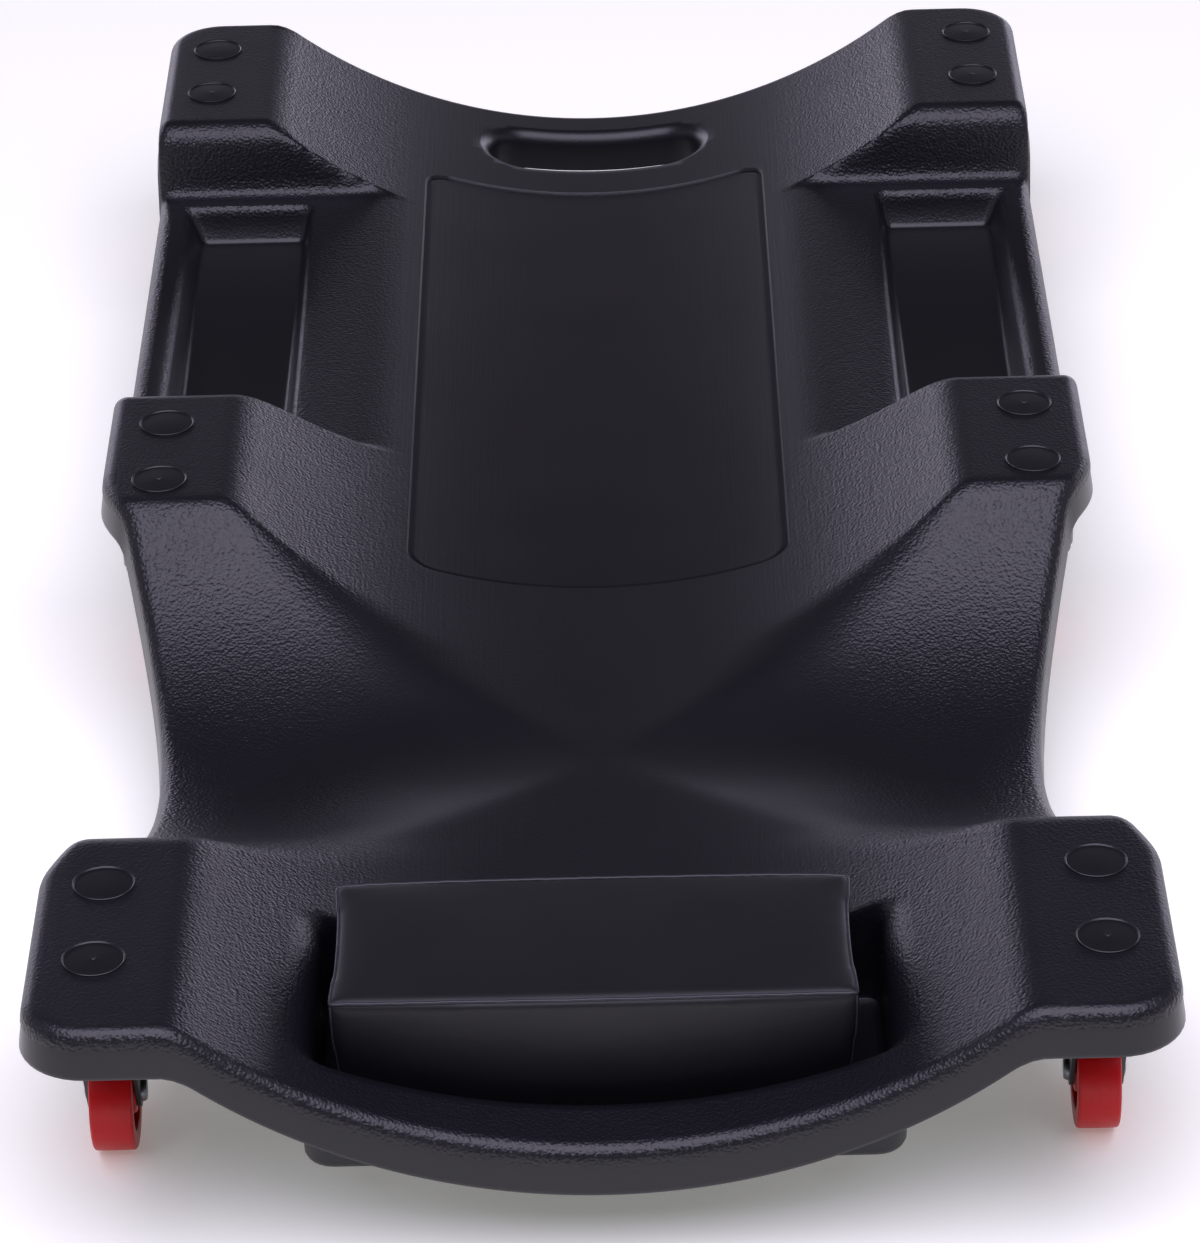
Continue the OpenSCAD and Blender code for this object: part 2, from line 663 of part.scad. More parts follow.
// Fork: pressed crown with a raised race lip, and two tapered legs down to the axle
crown_r = ball_pcd / 2 + ball_d;
side_gap = wheel_w / 50;
leg_in = wheel_w / 2 + side_gap;
leg_out = leg_in + leg_t;
boss_r = bolt_d * 1.15;
module fork_leg() {
    top_half = crown_r * 0.72;
    translate([leg_in, 0, 0]) rotate([90, 0, 90]) linear_extrude(leg_t) hull() {
        translate([-top_half, crown_z]) square([2 * top_half, plate_t / 2]);
        translate([-top_half * 0.9, crown_z - plate_t * 2]) square([1.8 * top_half, plate_t]);
        translate([trail, axle_z]) circle(boss_r, $fn = hull_fn);
    }
}
module fork(s) {
    lip_h = swivel_gap * 0.6;
    color("#232428") translate([s.x, s.y, 0]) difference() {
        union() {
            translate([0, 0, crown_z]) cylinder(r = crown_r, h = plate_t + lip_h);
            for (side = [0, 1]) mirror([side, 0, 0]) fork_leg();
        }
        translate([0, 0, crown_z + plate_t]) cylinder(r = crown_r - plate_t * 0.7, h = plate_t);
        translate([0, 0, crown_z - over]) cylinder(r = pin_r + pin_fit, h = caster_h);
        race(ball_z);
        translate([-leg_out - over, trail, axle_z]) rotate([0, 90, 0])
            cylinder(r = bolt_d / 2 + thread_gap, h = 2 * leg_out + 2 * over);
    }
}

// Axle: a pin with a low domed head through both legs, a thin round nut on its inner end, and a
// steel bush that the wheel turns on
axle_head_r = bolt_d * 0.8;
axle_head_h = leg_t * 0.9;
axle_nut_h = leg_t * 1.2;
module along_axle(s) {
    translate([s.x, s.y + trail, axle_z]) rotate([0, s.x < 0 ? 90 : -90, 0]) children();
}
module axle_bolt(s) {
    ball = (pow(axle_head_r, 2) + pow(axle_head_h, 2)) / (2 * axle_head_h);
    color("#b9bcc0") along_axle(s) {
        intersection() {
            translate([0, 0, -leg_out - axle_head_h]) cylinder(r = axle_head_r, h = axle_head_h);
            translate([0, 0, ball - leg_out - axle_head_h]) sphere(ball, $fn = 96);
        }
        translate([0, 0, -leg_out - axle_head_h / 2])
            cylinder(d = bolt_d, h = 2 * leg_out + axle_nut_h + axle_head_h / 2);
    }
}
module axle_nut(s) {
    bore = bolt_d / 2 + thread_gap;
    color("#b4b7bb") along_axle(s) translate([0, 0, leg_out]) rotate_extrude()
        polygon([[bore, 0], [axle_head_r, 0], [axle_head_r, axle_nut_h * 0.6],
                 [axle_head_r * 0.85, axle_nut_h], [bore, axle_nut_h]]);
}
bush_r = bolt_d * 0.83;
bore_r = bush_r + bolt_d / 80;
module wheel_bush(s) {
    color("#9da0a5") along_axle(s) difference() {
        translate([0, 0, -leg_in]) cylinder(r = bush_r, h = 2 * leg_in);
        translate([0, 0, -leg_in - over])
            cylinder(r = bolt_d / 2 + thread_gap, h = 2 * leg_in + 2 * over);
    }
}

// Wheel: solid tread with round shoulders, sunk web and a hub
module wheel(s) {
    tyre_h = wheel_d * 0.16;
    hub_r = bore_r + wheel_d * 0.09;
    web_w = wheel_w * 0.62;
    color("#b3161c") along_axle(s) rotate_extrude($fn = 96) {
        translate([wheel_d / 2 - tyre_h / 2, 0])
            rounded_rect(tyre_h, wheel_w, wheel_w / 8);
        translate([bore_r, -web_w / 2])
            square([wheel_d / 2 - tyre_h / 2 - bore_r, web_w]);
        translate([bore_r, -wheel_w / 2]) square([hub_r - bore_r, wheel_w]);
    }
}

deck();
cap_plugs();
mount_bolts();
mount_washers();
mount_nuts();
headrest_cushion();
headrest_board();
headrest_tee_nuts();
headrest_washers();
headrest_screws();
kingpins();
swivel_balls();
plate(spots[0]);  // plate_head_left
plate(spots[1]);  // plate_head_right
plate(spots[2]);  // plate_mid_left
plate(spots[3]);  // plate_mid_right
plate(spots[4]);  // plate_foot_left
plate(spots[5]);  // plate_foot_right
fork(spots[0]);  // fork_head_left
fork(spots[1]);  // fork_head_right
fork(spots[2]);  // fork_mid_left
fork(spots[3]);  // fork_mid_right
fork(spots[4]);  // fork_foot_left
fork(spots[5]);  // fork_foot_right
axle_bolt(spots[0]);  // axle_bolt_head_left
axle_bolt(spots[1]);  // axle_bolt_head_right
axle_bolt(spots[2]);  // axle_bolt_mid_left
axle_bolt(spots[3]);  // axle_bolt_mid_right
axle_bolt(spots[4]);  // axle_bolt_foot_left
axle_bolt(spots[5]);  // axle_bolt_foot_right
axle_nut(spots[0]);  // axle_nut_head_left
axle_nut(spots[1]);  // axle_nut_head_right
axle_nut(spots[2]);  // axle_nut_mid_left
axle_nut(spots[3]);  // axle_nut_mid_right
axle_nut(spots[4]);  // axle_nut_foot_left
axle_nut(spots[5]);  // axle_nut_foot_right
wheel_bush(spots[0]);  // wheel_bush_head_left
wheel_bush(spots[1]);  // wheel_bush_head_right
wheel_bush(spots[2]);  // wheel_bush_mid_left
wheel_bush(spots[3]);  // wheel_bush_mid_right
wheel_bush(spots[4]);  // wheel_bush_foot_left
wheel_bush(spots[5]);  // wheel_bush_foot_right
wheel(spots[0]);  // wheel_head_left
wheel(spots[1]);  // wheel_head_right
wheel(spots[2]);  // wheel_mid_left
wheel(spots[3]);  // wheel_mid_right
wheel(spots[4]);  // wheel_foot_left
wheel(spots[5]);  // wheel_foot_right
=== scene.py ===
# Mechanic's creeper, dressed for a studio photograph. The moulded deck, its vinyl headrest, the
# plug caps and the wheels are modelled here; forks, plates and fasteners come from the frame.
import json
import math
import random

import bpy
from mathutils import Matrix, Vector
from mathutils.kdtree import KDTree


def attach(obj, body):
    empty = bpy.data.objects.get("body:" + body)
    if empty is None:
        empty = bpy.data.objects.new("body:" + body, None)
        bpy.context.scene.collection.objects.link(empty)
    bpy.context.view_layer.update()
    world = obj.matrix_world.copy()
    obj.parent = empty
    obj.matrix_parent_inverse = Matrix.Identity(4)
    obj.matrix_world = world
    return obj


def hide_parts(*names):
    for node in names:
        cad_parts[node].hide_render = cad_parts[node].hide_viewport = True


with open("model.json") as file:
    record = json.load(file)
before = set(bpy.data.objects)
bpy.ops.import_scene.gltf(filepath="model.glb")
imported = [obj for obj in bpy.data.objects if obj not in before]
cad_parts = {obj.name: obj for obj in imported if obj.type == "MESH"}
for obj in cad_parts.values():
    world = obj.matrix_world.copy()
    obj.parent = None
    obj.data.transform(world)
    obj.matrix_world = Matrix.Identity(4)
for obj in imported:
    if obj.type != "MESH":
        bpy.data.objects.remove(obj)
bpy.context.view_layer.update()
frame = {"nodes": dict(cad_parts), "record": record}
nodes = frame["nodes"]
mm = 0.001
print("frame loaded,", len(nodes), "nodes")


# Selects these pieces only; the first is the active one
def takeUp(*pieces):
    for other in list(bpy.context.selected_objects):
        other.select_set(False)
    for piece in pieces:
        piece.select_set(True)
    bpy.context.view_layer.objects.active = pieces[0]
    return pieces[0]


# Runs edit mode steps with every point of the piece selected
def inEditMode(piece, *steps):
    takeUp(piece)
    bpy.ops.object.mode_set(mode="EDIT")
    bpy.ops.mesh.select_mode(type="VERT")
    bpy.ops.mesh.select_all(action="SELECT")
    for step in steps:
        step()
    bpy.ops.object.mode_set(mode="OBJECT")
    return piece


def mergePoints():
    bpy.ops.mesh.remove_doubles(threshold=2e-6)


def pointNormalsOut():
    bpy.ops.mesh.normals_make_consistent(inside=False)


def applyModifier(piece, kind, **settings):
    takeUp(piece)
    modifier = piece.modifiers.new(kind.lower(), kind)
    for name, value in settings.items():
        setattr(modifier, name, value)
    bpy.ops.object.modifier_apply(modifier=modifier.name)
    return piece


def smoothShade(piece, degrees):
    takeUp(piece)
    bpy.ops.object.shade_smooth_by_angle(angle=math.radians(degrees))
    return piece


# Leaves nothing selected, so that a new primitive stands alone
def putAllDown():
    takeUp(list(nodes.values())[0])
    bpy.ops.object.select_all(action="DESELECT")


def selectOpenEdges():
    bpy.ops.mesh.select_all(action="DESELECT")
    bpy.ops.mesh.select_non_manifold(extend=False)


def fillOpenEnds():
    selectOpenEdges()
    bpy.ops.mesh.fill_holes(sides=0)
    bpy.ops.mesh.select_all(action="SELECT")


def bridgeOpenEdges():
    selectOpenEdges()
    bpy.ops.mesh.bridge_edge_loops()
    bpy.ops.mesh.select_all(action="SELECT")


# A grid primitive whose points are placed by a rule, in millimetres
def placedGrid(name, columns, rows, place):
    putAllDown()
    bpy.ops.mesh.primitive_grid_add(x_subdivisions=columns, y_subdivisions=rows, size=2)
    piece = bpy.context.object
    piece.name = name
    for k, point in enumerate(piece.data.vertices):
        point.co = Vector(place(k % (columns + 1), k // (columns + 1))) * mm
    return piece


# A grid wrapped round a stack of rings, its ends filled
def loft(name, rings, filled=True):
    around = len(rings[0])
    piece = placedGrid(name, around, len(rings) - 1, lambda i, j: rings[j][i % around])
    closing = [fillOpenEnds] if filled else []
    return inEditMode(piece, mergePoints, *closing, pointNormalsOut)


# A closed profile of (along, radius) pairs turned round an axis that lies along X
def turned(name, profile, centre, steps):
    count = len(profile)

    def place(i, j):
        angle = 2 * math.pi * (i % steps) / steps
        along, radius = profile[j % count]
        return (centre.x + along, centre.y + radius * math.cos(angle), centre.z + radius * math.sin(angle))

    return inEditMode(placedGrid(name, steps, count, place), mergePoints, pointNormalsOut)


# A rectangle with round corners as a ring of plan points, with extra points along its sides
def roundOutline(width, length, radius, arcSteps=6, alongX=4, alongY=4):
    corners = [(1, 1), (-1, 1), (-1, -1), (1, -1)]
    points = []
    for k, (sx, sy) in enumerate(corners):
        centre = Vector((sx * (width / 2 - radius), sy * (length / 2 - radius)))
        for a in range(arcSteps + 1):
            angle = math.radians(90 * k + 90 * a / arcSteps)
            points.append(centre + radius * Vector((math.cos(angle), math.sin(angle))))
        nx, ny = corners[(k + 1) % 4]
        after = Vector((nx * (width / 2 - radius), ny * (length / 2 - radius)))
        angle = math.radians(90 * (k + 1))
        start = points[-1]
        end = after + radius * Vector((math.cos(angle), math.sin(angle)))
        steps = alongX if k % 2 == 0 else alongY
        points += [start.lerp(end, i / steps) for i in range(1, steps)]
    return points


# The same drawn in all round by an inset, its corners never quite sharp
def insetOutline(width, length, radius, inset, *steps):
    return roundOutline(width - 2 * inset, length - 2 * inset, max(radius - inset, 0.4), *steps)


# A point on a quarter round: how far along it lies, and how far it has turned away
def roundPoint(radius, degrees):
    angle = math.radians(degrees)
    return radius * math.sin(angle), radius * (1 - math.cos(angle))


# The deck's form, in millimetres: a round trough, a shoulder scoop, six raised pods. The grain
# ends a little way down the edge, and the scoop counts only as far as the middle pods
deckSize = {
    "length": 1007, "width": 465, "podTop": 115, "rim": 21.5, "edgeRound": 6.5, "flare": 1.5,
    "troughRadius": 265, "troughFloor": 54.5, "footInset": 1, "grainEnd": 8.1,
    "scoopHeadRadius": 236, "scoopFootRadius": 184, "scoopY": -194.9,
    "scoopUnder": 0.88, "scoopClear": 20,
    "podBlend": 6, "groinBlend": 12, "bayBlend": 4,
    "waistHalf": 197.5, "waistRadius": 600, "waistY": -224.4,
    "headCorner": 27, "footCorner": 28, "taperFrom": -325, "taperTo": -381,
    "cornerFrom": -62.5, "cornerTo": -28,
    "midPodStart": -59.5, "midPodEnd": 46.5, "footPodStart": 372.5, "wallRun": 22,
    "bay": 78, "bayWallRun": 23, "bayCrest": 13, "bayFillet": 6, "bayWallLean": 80,
    "bayUnderStart": 40, "bayUnderEnd": 379, "bayUnderRun": 6,
}


def mix(a, b, t):
    return a + (b - a) * t


def easeStep(t):
    t = min(max(t, 0), 1)
    return t * t * (3 - 2 * t)


# The lower of two heights, rounded over where they cross
def softMin(a, b, k):
    if k <= 0:
        return min(a, b)
    h = max(k - abs(a - b), 0) / k
    return min(a, b) - h * h * k / 4


# A straight ramp from 0 to 1 whose two ends are a little rounded
def softRamp(t, k=0.12):
    return -softMin(-softMin(t, 1, k), 0, k)


# Height of a round hollow at a distance from its middle, never quite upright
def arcHeight(d, radius, floor):
    reach = min(abs(d), 0.99 * radius)
    return floor + radius - math.sqrt(max(radius ** 2 - reach ** 2, 0))


def troughHeight(x):
    return arcHeight(x, deckSize["troughRadius"], deckSize["troughFloor"])


# The shoulder scoop: a wide arc up to the head pods, a tighter one up to the middle pods
def scoopHeight(y, below=0):
    s = deckSize
    if y > s["midPodStart"] + s["scoopClear"]:
        return s["podTop"] + s["scoopClear"]
    radius = s["scoopHeadRadius"] if y < s["scoopY"] else s["scoopFootRadius"]
    return arcHeight(y - s["scoopY"], radius + below, s["troughFloor"] - below)


# Fall of a wall between pod and tray bay: a round crest, a steep face and a fillet
def wallFall(past):
    s = deckSize
    lean = math.radians(s["bayWallLean"])
    crest, fillet = s["bayCrest"], s["bayFillet"]
    fall = s["podTop"] - s["bay"]
    face = (fall - (crest + fillet) * (1 - math.cos(lean))) / math.sin(lean)
    run = (crest + fillet) * math.sin(lean) + face * math.cos(lean)
    if past <= crest * math.sin(lean):
        return arcHeight(past, crest, 0)
    if past >= run - fillet * math.sin(lean):
        return fall - arcHeight(max(run - past, 0), fillet, 0)
    return crest * (1 - math.cos(lean)) + (past - crest * math.sin(lean)) * math.tan(lean)


# Whether a place lies on the scoop's side of the middle pods
def onScoopSide(y):
    return y < (deckSize["midPodStart"] + deckSize["midPodEnd"]) / 2


def sideHeight(y):
    s = deckSize
    if onScoopSide(y):
        return softMin(s["podTop"], scoopHeight(y), s["podBlend"])
    return s["podTop"] - wallFall(max(min(y - s["midPodEnd"], s["footPodStart"] - y), 0))


def skinHeight(x, y):
    s = deckSize
    trough, side = troughHeight(x), sideHeight(y)
    wide = s["groinBlend"] if onScoopSide(y) else s["bayBlend"]
    width = mix(s["podBlend"], wide, easeStep((s["podTop"] - side) / s["rim"]))
    rise = (max(trough, side) - s["troughFloor"]) / s["rim"]
    return softMin(trough, side, width * easeStep(rise))


# The hidden face, about the rim's height below the skin
def underHeight(x, y):
    s = deckSize
    run = s["bayUnderRun"]
    trough = arcHeight(x, s["troughRadius"] + s["rim"], s["troughFloor"] - s["rim"])
    scoop = scoopHeight(y, s["scoopUnder"] * s["rim"])
    bayShare = easeStep((y - s["bayUnderStart"]) / run) * (1 - easeStep((y - s["bayUnderEnd"] + run) / run))
    pods = mix(s["podTop"] - s["rim"], s["bay"] - s["rim"], bayShare)
    return min(trough, scoop, pods)


# Half the deck's width at the parting line of its mould
def partingHalf(y):
    s = deckSize
    end = s["length"] / 2 - s["flare"]

    def cornerCut(t, radius):
        return radius - math.sqrt(max(radius ** 2 - min(t, radius) ** 2, 0)) if t > 0 else 0

    waist = arcHeight(y - s["waistY"], s["waistRadius"], s["waistHalf"])
    wide = s["width"] / 2
    headShare = softRamp((s["taperFrom"] - y) / (s["taperFrom"] - s["taperTo"]))
    midShare = softRamp((y - s["cornerFrom"]) / (s["cornerTo"] - s["cornerFrom"]))
    half = mix(min(wide, waist), wide, max(headShare, midShare))
    half -= s["footInset"] * easeStep((y - s["midPodEnd"]) / s["wallRun"]) + s["flare"]
    headCut = cornerCut(s["headCorner"] - end - y, s["headCorner"])
    footCut = cornerCut(y - end + s["footCorner"], s["footCorner"])
    return half - headCut - footCut


# Places along the deck: round its head corners, along its sides, then round its foot corners
def placesAlong(end, headArc, footArc, degrees, gapAt, spare=0):
    places = [headArc * (1 - math.cos(math.radians(a))) - end for a in range(0, 90, degrees)]
    y = headArc - end
    while y < end - footArc - spare:
        places.append(y)
        y += gapAt(y)
    return places + [end - footArc * (1 - math.sin(math.radians(a))) for a in range(0, 91, degrees)]


# The right side's parting line drawn in by the edge round, as (point, outward normal)
def edgeLine():
    s = deckSize
    end = s["length"] / 2 - s["flare"]
    ys = placesAlong(end, s["headCorner"], s["footCorner"], 3, lambda y: 2)
    points = [Vector((partingHalf(y), y)) for y in ys]
    line = []
    for k, point in enumerate(points):
        if k in (0, len(points) - 1):
            normal = Vector((0, -1 if k == 0 else 1))
        else:
            tangent = (points[k + 1] - points[k - 1]).normalized()
            normal = Vector((tangent.y, -tangent.x))
        line.append((point - normal * s["edgeRound"], normal))
    return line


innerLine = edgeLine()


def innerEdge(y):
    for (a, na), (b, nb) in zip(innerLine, innerLine[1:]):
        if a.y <= y <= b.y:
            t = (y - a.y) / max(b.y - a.y, 1e-9)
            return mix(a.x, b.x, t), na.lerp(nb, t).normalized()
    point, normal = innerLine[0] if y < 0 else innerLine[-1]
    return point.x, normal


# Gaps between the deck's rows of points: closest on the walls, close where its outline bends
rowGaps = {"wall": 1.0, "bend": 3.2, "plain": 5.2}
# Columns from the middle outwards, as shares of the half width: start, run and count
columnBands = [(0, 0.66, 24), (0.66, 0.15, 18), (0.81, 0.19, 9)]


def rowGap(y):
    s = deckSize
    walls = (s["midPodStart"] - s["wallRun"], s["midPodEnd"], s["footPodStart"] - s["bayWallRun"])
    nearTaper = s["taperTo"] - 7 < y < s["taperFrom"] + 3
    nearCorner = s["cornerFrom"] - 3.5 < y < s["cornerTo"] + 4
    if any(wall - 5 < y < wall + s["wallRun"] + 4 for wall in walls):
        return rowGaps["wall"]
    return rowGaps["bend"] if nearTaper or nearCorner else rowGaps["plain"]


def stationRows():
    s = deckSize
    end = s["length"] / 2 - s["flare"] - s["edgeRound"]
    headArc, footArc = s["headCorner"] - s["edgeRound"], s["footCorner"] - s["edgeRound"]
    return placesAlong(end, headArc, footArc, 9, rowGap, 1)


def columnShares():
    half = [start + run * i / count for start, run, count in columnBands for i in range(count)]
    half.append(columnBands[-1][0] + columnBands[-1][1])
    return [-share for share in reversed(half[1:])] + half


# Rings of the rim from the skin outwards: how far out, and how far below the skin. First the edge
# round, then the groove of the parting line, the drafted skirt and its rolled lower edge
rimRings = [roundPoint(deckSize["edgeRound"], a) for a in range(15, 91, 15)]
rimRings += [(6.7, 7.6), (6.75, 8.15), (6.35, 8.45), (6.45, 9.2)]
rimRings += [(7.9, 19.2), (7.95, 20.3), (7.5, 21.2), (6.1, 21.5)]


# Extrudes the skin's open edge outwards and down, one ring at a time
def growRim(blank, rim):
    spots = [base for base, _ in rim]
    for k, (out, drop) in enumerate(rimRings):
        takeUp(blank)
        bpy.ops.object.mode_set(mode="EDIT")
        if k == 0:
            bpy.ops.mesh.select_mode(type="VERT")
            selectOpenEdges()
        bpy.ops.mesh.extrude_region_move()
        bpy.ops.object.mode_set(mode="OBJECT")
        tree = KDTree(len(spots))
        for n, spot in enumerate(spots):
            tree.insert((spot.x, spot.y, 0), n)
        tree.balance()
        reach = min(out, deckSize["edgeRound"])
        for point in blank.data.vertices:
            if point.select:
                n = tree.find((point.co.x / mm, point.co.y / mm, 0))[1]
                base, normal = rim[n]
                edge, spot = base + normal * reach, base + normal * out
                point.co = Vector((spot.x, spot.y, skinHeight(edge.x, edge.y) - drop)) * mm
        spots = [base + normal * out for base, normal in rim]


def deckBlank():
    rows, shares = stationRows(), columnShares()
    columns, last = len(shares) - 1, len(rows) - 1
    edges = [innerEdge(y) for y in rows]

    def place(i, j):
        x = shares[i] * edges[j][0]
        return x, rows[j], skinHeight(x, rows[j])

    def placeUnder(i, j):
        x, y, _ = place(columns - i, j)
        return x, y, underHeight(x, y)

    blank = placedGrid("deck_moulding", columns, last, place)
    rim = []
    for j in range(last + 1):
        for i in range(columns + 1):
            if i in (0, columns):
                outward = Vector((edges[j][1].x if i else -edges[j][1].x, edges[j][1].y))
            elif j in (0, last):
                outward = Vector((0, 1 if j else -1))
            else:
                continue
            rim.append((Vector(place(i, j)[:2]), outward))
    growRim(blank, rim)
    under = placedGrid("deck_under", columns, last, placeUnder)
    takeUp(blank, under)
    bpy.ops.object.join()
    return inEditMode(blank, bridgeOpenEdges, pointNormalsOut)


# What is moulded on below: a drafted box under the headrest, a box under each tray, and a pad
# above each caster. A box's lower edge is given as (height, inset)
wellSize = {
    "y": -416.1, "width": 234, "length": 104, "radius": 6.5, "draft": 1.6, "floor": 34, "mouth": 54.5,
    "bow": 5.2, "rollOut": 11, "rollDown": 10, "rearShare": 0.15,
    "wall": 6.0, "boxFloor": 27, "boxTop": 57, "boxEdge": [(0, 2.6), (0.8, 0.9), (2.8, 0)],
}
traySize = {
    "near": 77.5, "far": 341.5, "inner": 149, "outer": 214.5, "floorInner": 154, "floorOuter": 207.5,
    "draft": 5, "floor": 59, "boxWall": 4, "boxCorner": 6.5, "boxEdge": [(-4, 1), (-3, 0), (2, 0)],
}
padSize = {"width": 40, "length": 79, "radius": 18, "bottom": 68, "top": 97, "edge": 1}
casterPlaces = [(x, y) for y in (-419, -7.5, 435) for x in (-203.5, 203.5)]
placeNames = ["head_left", "head_right", "mid_left", "mid_right", "foot_left", "foot_right"]


# An outline moved to its centre, at one height or at the heights that a rule gives
def ringAt(outline, centre, height):
    ring = []
    for p in outline:
        x, y = centre[0] + p.x, centre[1] + p.y
        ring.append((x, y, height(x, y) if callable(height) else height))
    return ring


def belowSkin(depth):
    return lambda x, y: skinHeight(x, y) - depth


def belowTrough(depth):
    return lambda x, y: troughHeight(x) - depth


# One level of the well; its front wall bows towards the pad, and its rear lip rolls out less
def wellRing(z, out, bow=0):
    w = wellSize
    draft = w["draft"] * max(w["mouth"] - z, 0) / (w["mouth"] - w["floor"])
    width = w["width"] - draft / 2 + 2 * out
    length = w["length"] - 2 * draft + 2 * out
    ring = roundOutline(width, length, w["radius"] + max(out, -5), 6, 36, 16)
    rear = 1
    if out > 0 and bow:
        rear = (w["length"] / 2 + w["rearShare"] * out) / (w["length"] / 2 + out)
    for p in ring:
        p.y = p.y + bow * max(1 - (2 * p.x / width) ** 2, 0) if p.y < 0 else p.y * rear
    return ring


def mouldedBelow():
    w, t, p = wellSize, traySize, padSize
    levels = [(w["boxFloor"] + up, inset) for up, inset in w["boxEdge"]] + [(w["boxTop"], 0)]
    rings = [ringAt(wellRing(z, w["wall"] - inset), (0, w["y"]), z) for z, inset in levels]
    parts = [loft("well_box", rings)]
    for place in casterPlaces:
        levels = [(p["bottom"], p["edge"]), (p["bottom"] + p["edge"], 0), (p["top"], 0)]
        rings = [ringAt(insetOutline(p["width"], p["length"], p["radius"], inset), place, z)
                 for z, inset in levels]
        parts.append(loft("caster_pad", rings))
    width = t["floorOuter"] - t["floorInner"] + 2 * t["boxWall"]
    length = t["far"] - t["near"] + 2 * (t["boxWall"] - t["draft"])
    for side in (-1, 1):
        middle = (side * (t["floorInner"] + t["floorOuter"]) / 2, (t["near"] + t["far"]) / 2)
        rings = [ringAt(insetOutline(width, length, t["boxCorner"], inset, 6, 6, 24), middle, t["floor"] + z)
                 for z, inset in t["boxEdge"]]
        parts.append(loft("tray_box", rings))
    takeUp(*parts)
    bpy.ops.object.join()
    return parts[0]


# Cutters that open the well, the trays, the slot and the sunk panel, each with a rounded lip; the
# slot's lip is given as (out, below), and the panel has a groove round its sunk face
slotSize = {
    "y": 453, "width": 114, "length": 42,
    "lip": [(0, 8), (0.5, 5.2), (1.5, 2.9), (3.0, 1.2), (5.0, 0.2), (7.0, -0.45)],
}
panelSize = {
    "y": 179, "width": 180, "length": 439, "radius": 14, "depth": 1, "groove": 0.5,
    "grooveInsets": (0.3, 1.1), "faceInsets": (2.0, 4, 9, 15, 22, 30, 38, 46, 54, 62, 70, 78, 84, 88),
}
aboveAll = 140  # a height above the whole deck, where the well's cutter ends


def headrestWellCutter():
    w = wellSize
    centre, bow = (0, w["y"]), w["bow"]
    rings = []
    for z, out in ((w["floor"], -3.2), (w["floor"] + 1, -0.9), (w["floor"] + 3.4, 0), (46, 0)):
        rings.append(ringAt(wellRing(z, out, bow), centre, z))
    rolls = [math.radians(a) for a in range(0, 91, 10)]
    lip = [(w["rollOut"] * (1 - math.cos(a)), w["rollDown"] * (1 - math.sin(a))) for a in rolls]
    for out, below in lip + [(w["rollOut"] + 1.8, -0.3)]:
        rings.append(ringAt(wellRing(w["mouth"], out, bow), centre, belowSkin(below)))
    rings.append(ringAt(wellRing(w["mouth"], w["rollOut"] + 2.2, bow), centre, aboveAll))
    return loft("well_cutter", rings)


def trayCutter(side):
    t = traySize
    bay = deckSize["bay"]

    def ring(share, out, z, corner, roll):
        near = t["near"] + t["draft"] * (1 - share) - out
        far = t["far"] - t["draft"] * (1 - share) + out
        inner = mix(t["floorInner"], t["inner"], share) - out
        outer = mix(t["floorOuter"], t["outer"], share) + out + roll
        outline = roundOutline(outer - inner, far - near, corner, 6, 6, 24)
        return ringAt(outline, (side * (inner + outer) / 2, (near + far) / 2), z)

    # Share of the way up the wall, how far out, height, corner radius, roll of the outer lip
    fromFloor = [(0, -20, 0, 1, 0), (0, -14, 0, 1, 0), (0, -8, 0, 1.2, 0), (0, -2.4, 0, 1.6, 0),
                 (0, -0.7, 0.7, 2.6, 0), (0.1, 0, 2.4, 3.4, 0)]
    fromBay = [(0.68, 0, -6, 4.8, 0.2), (0.8, 0, -3.4, 5, 1.2), (0.9, 0.2, -1.9, 5.3, 2.6),
               (0.97, 0.7, -0.9, 5.8, 4.0), (1, 1.5, -0.25, 6.5, 5.4), (1, 2.7, 0.3, 7.6, 6.2),
               (1, 2.9, 40, 7.7, 6.2)]
    rings = [ring(share, out, t["floor"] + z, corner, roll) for share, out, z, corner, roll in fromFloor]
    rings += [ring(share, out, bay + z, corner, roll) for share, out, z, corner, roll in fromBay]
    return loft("tray_cutter", rings)


def slotCutter():
    s = slotSize

    def ring(out, height):
        width, length = s["width"] + 2 * out, s["length"] + 2 * out
        return ringAt(roundOutline(width, length, length / 2 - 0.02, 16, 24, 2), (0, s["y"]), height)

    rings = [ring(0, 5)]
    rings += [ring(out, belowSkin(below)) for out, below in s["lip"]]
    rings.append(ring(7.4, 120))
    return loft("slot_cutter", rings)


def panelCutter():
    p = panelSize

    def ring(inset, height):
        outline = insetOutline(p["width"], p["length"], p["radius"], inset, 8, 24, 48)
        return ringAt(outline, (0, p["y"]), height)

    rings = [ring(-0.7, 125), ring(-0.7, belowTrough(-0.4)), ring(-0.25, belowTrough(0.25))]
    rings += [ring(inset, belowTrough(p["depth"] + p["groove"])) for inset in p["grooveInsets"]]
    rings += [ring(inset, belowTrough(p["depth"])) for inset in p["faceInsets"]]
    return loft("panel_cutter", rings)


def nameMaterials(piece, *materials):
    piece.data.materials.clear()
    for material in materials:
        piece.data.materials.append(material)


def setFaces(piece, index, chosen):
    for face in piece.data.polygons:
        if chosen(face):
            face.material_index = index


# Joins or cuts with a closed tool, whose faces keep their own material
def combine(piece, how, tool):
    applyModifier(piece, "BOOLEAN", operation=how, object=tool, solver="MANIFOLD", material_mode="TRANSFER")
    bpy.data.objects.remove(tool)


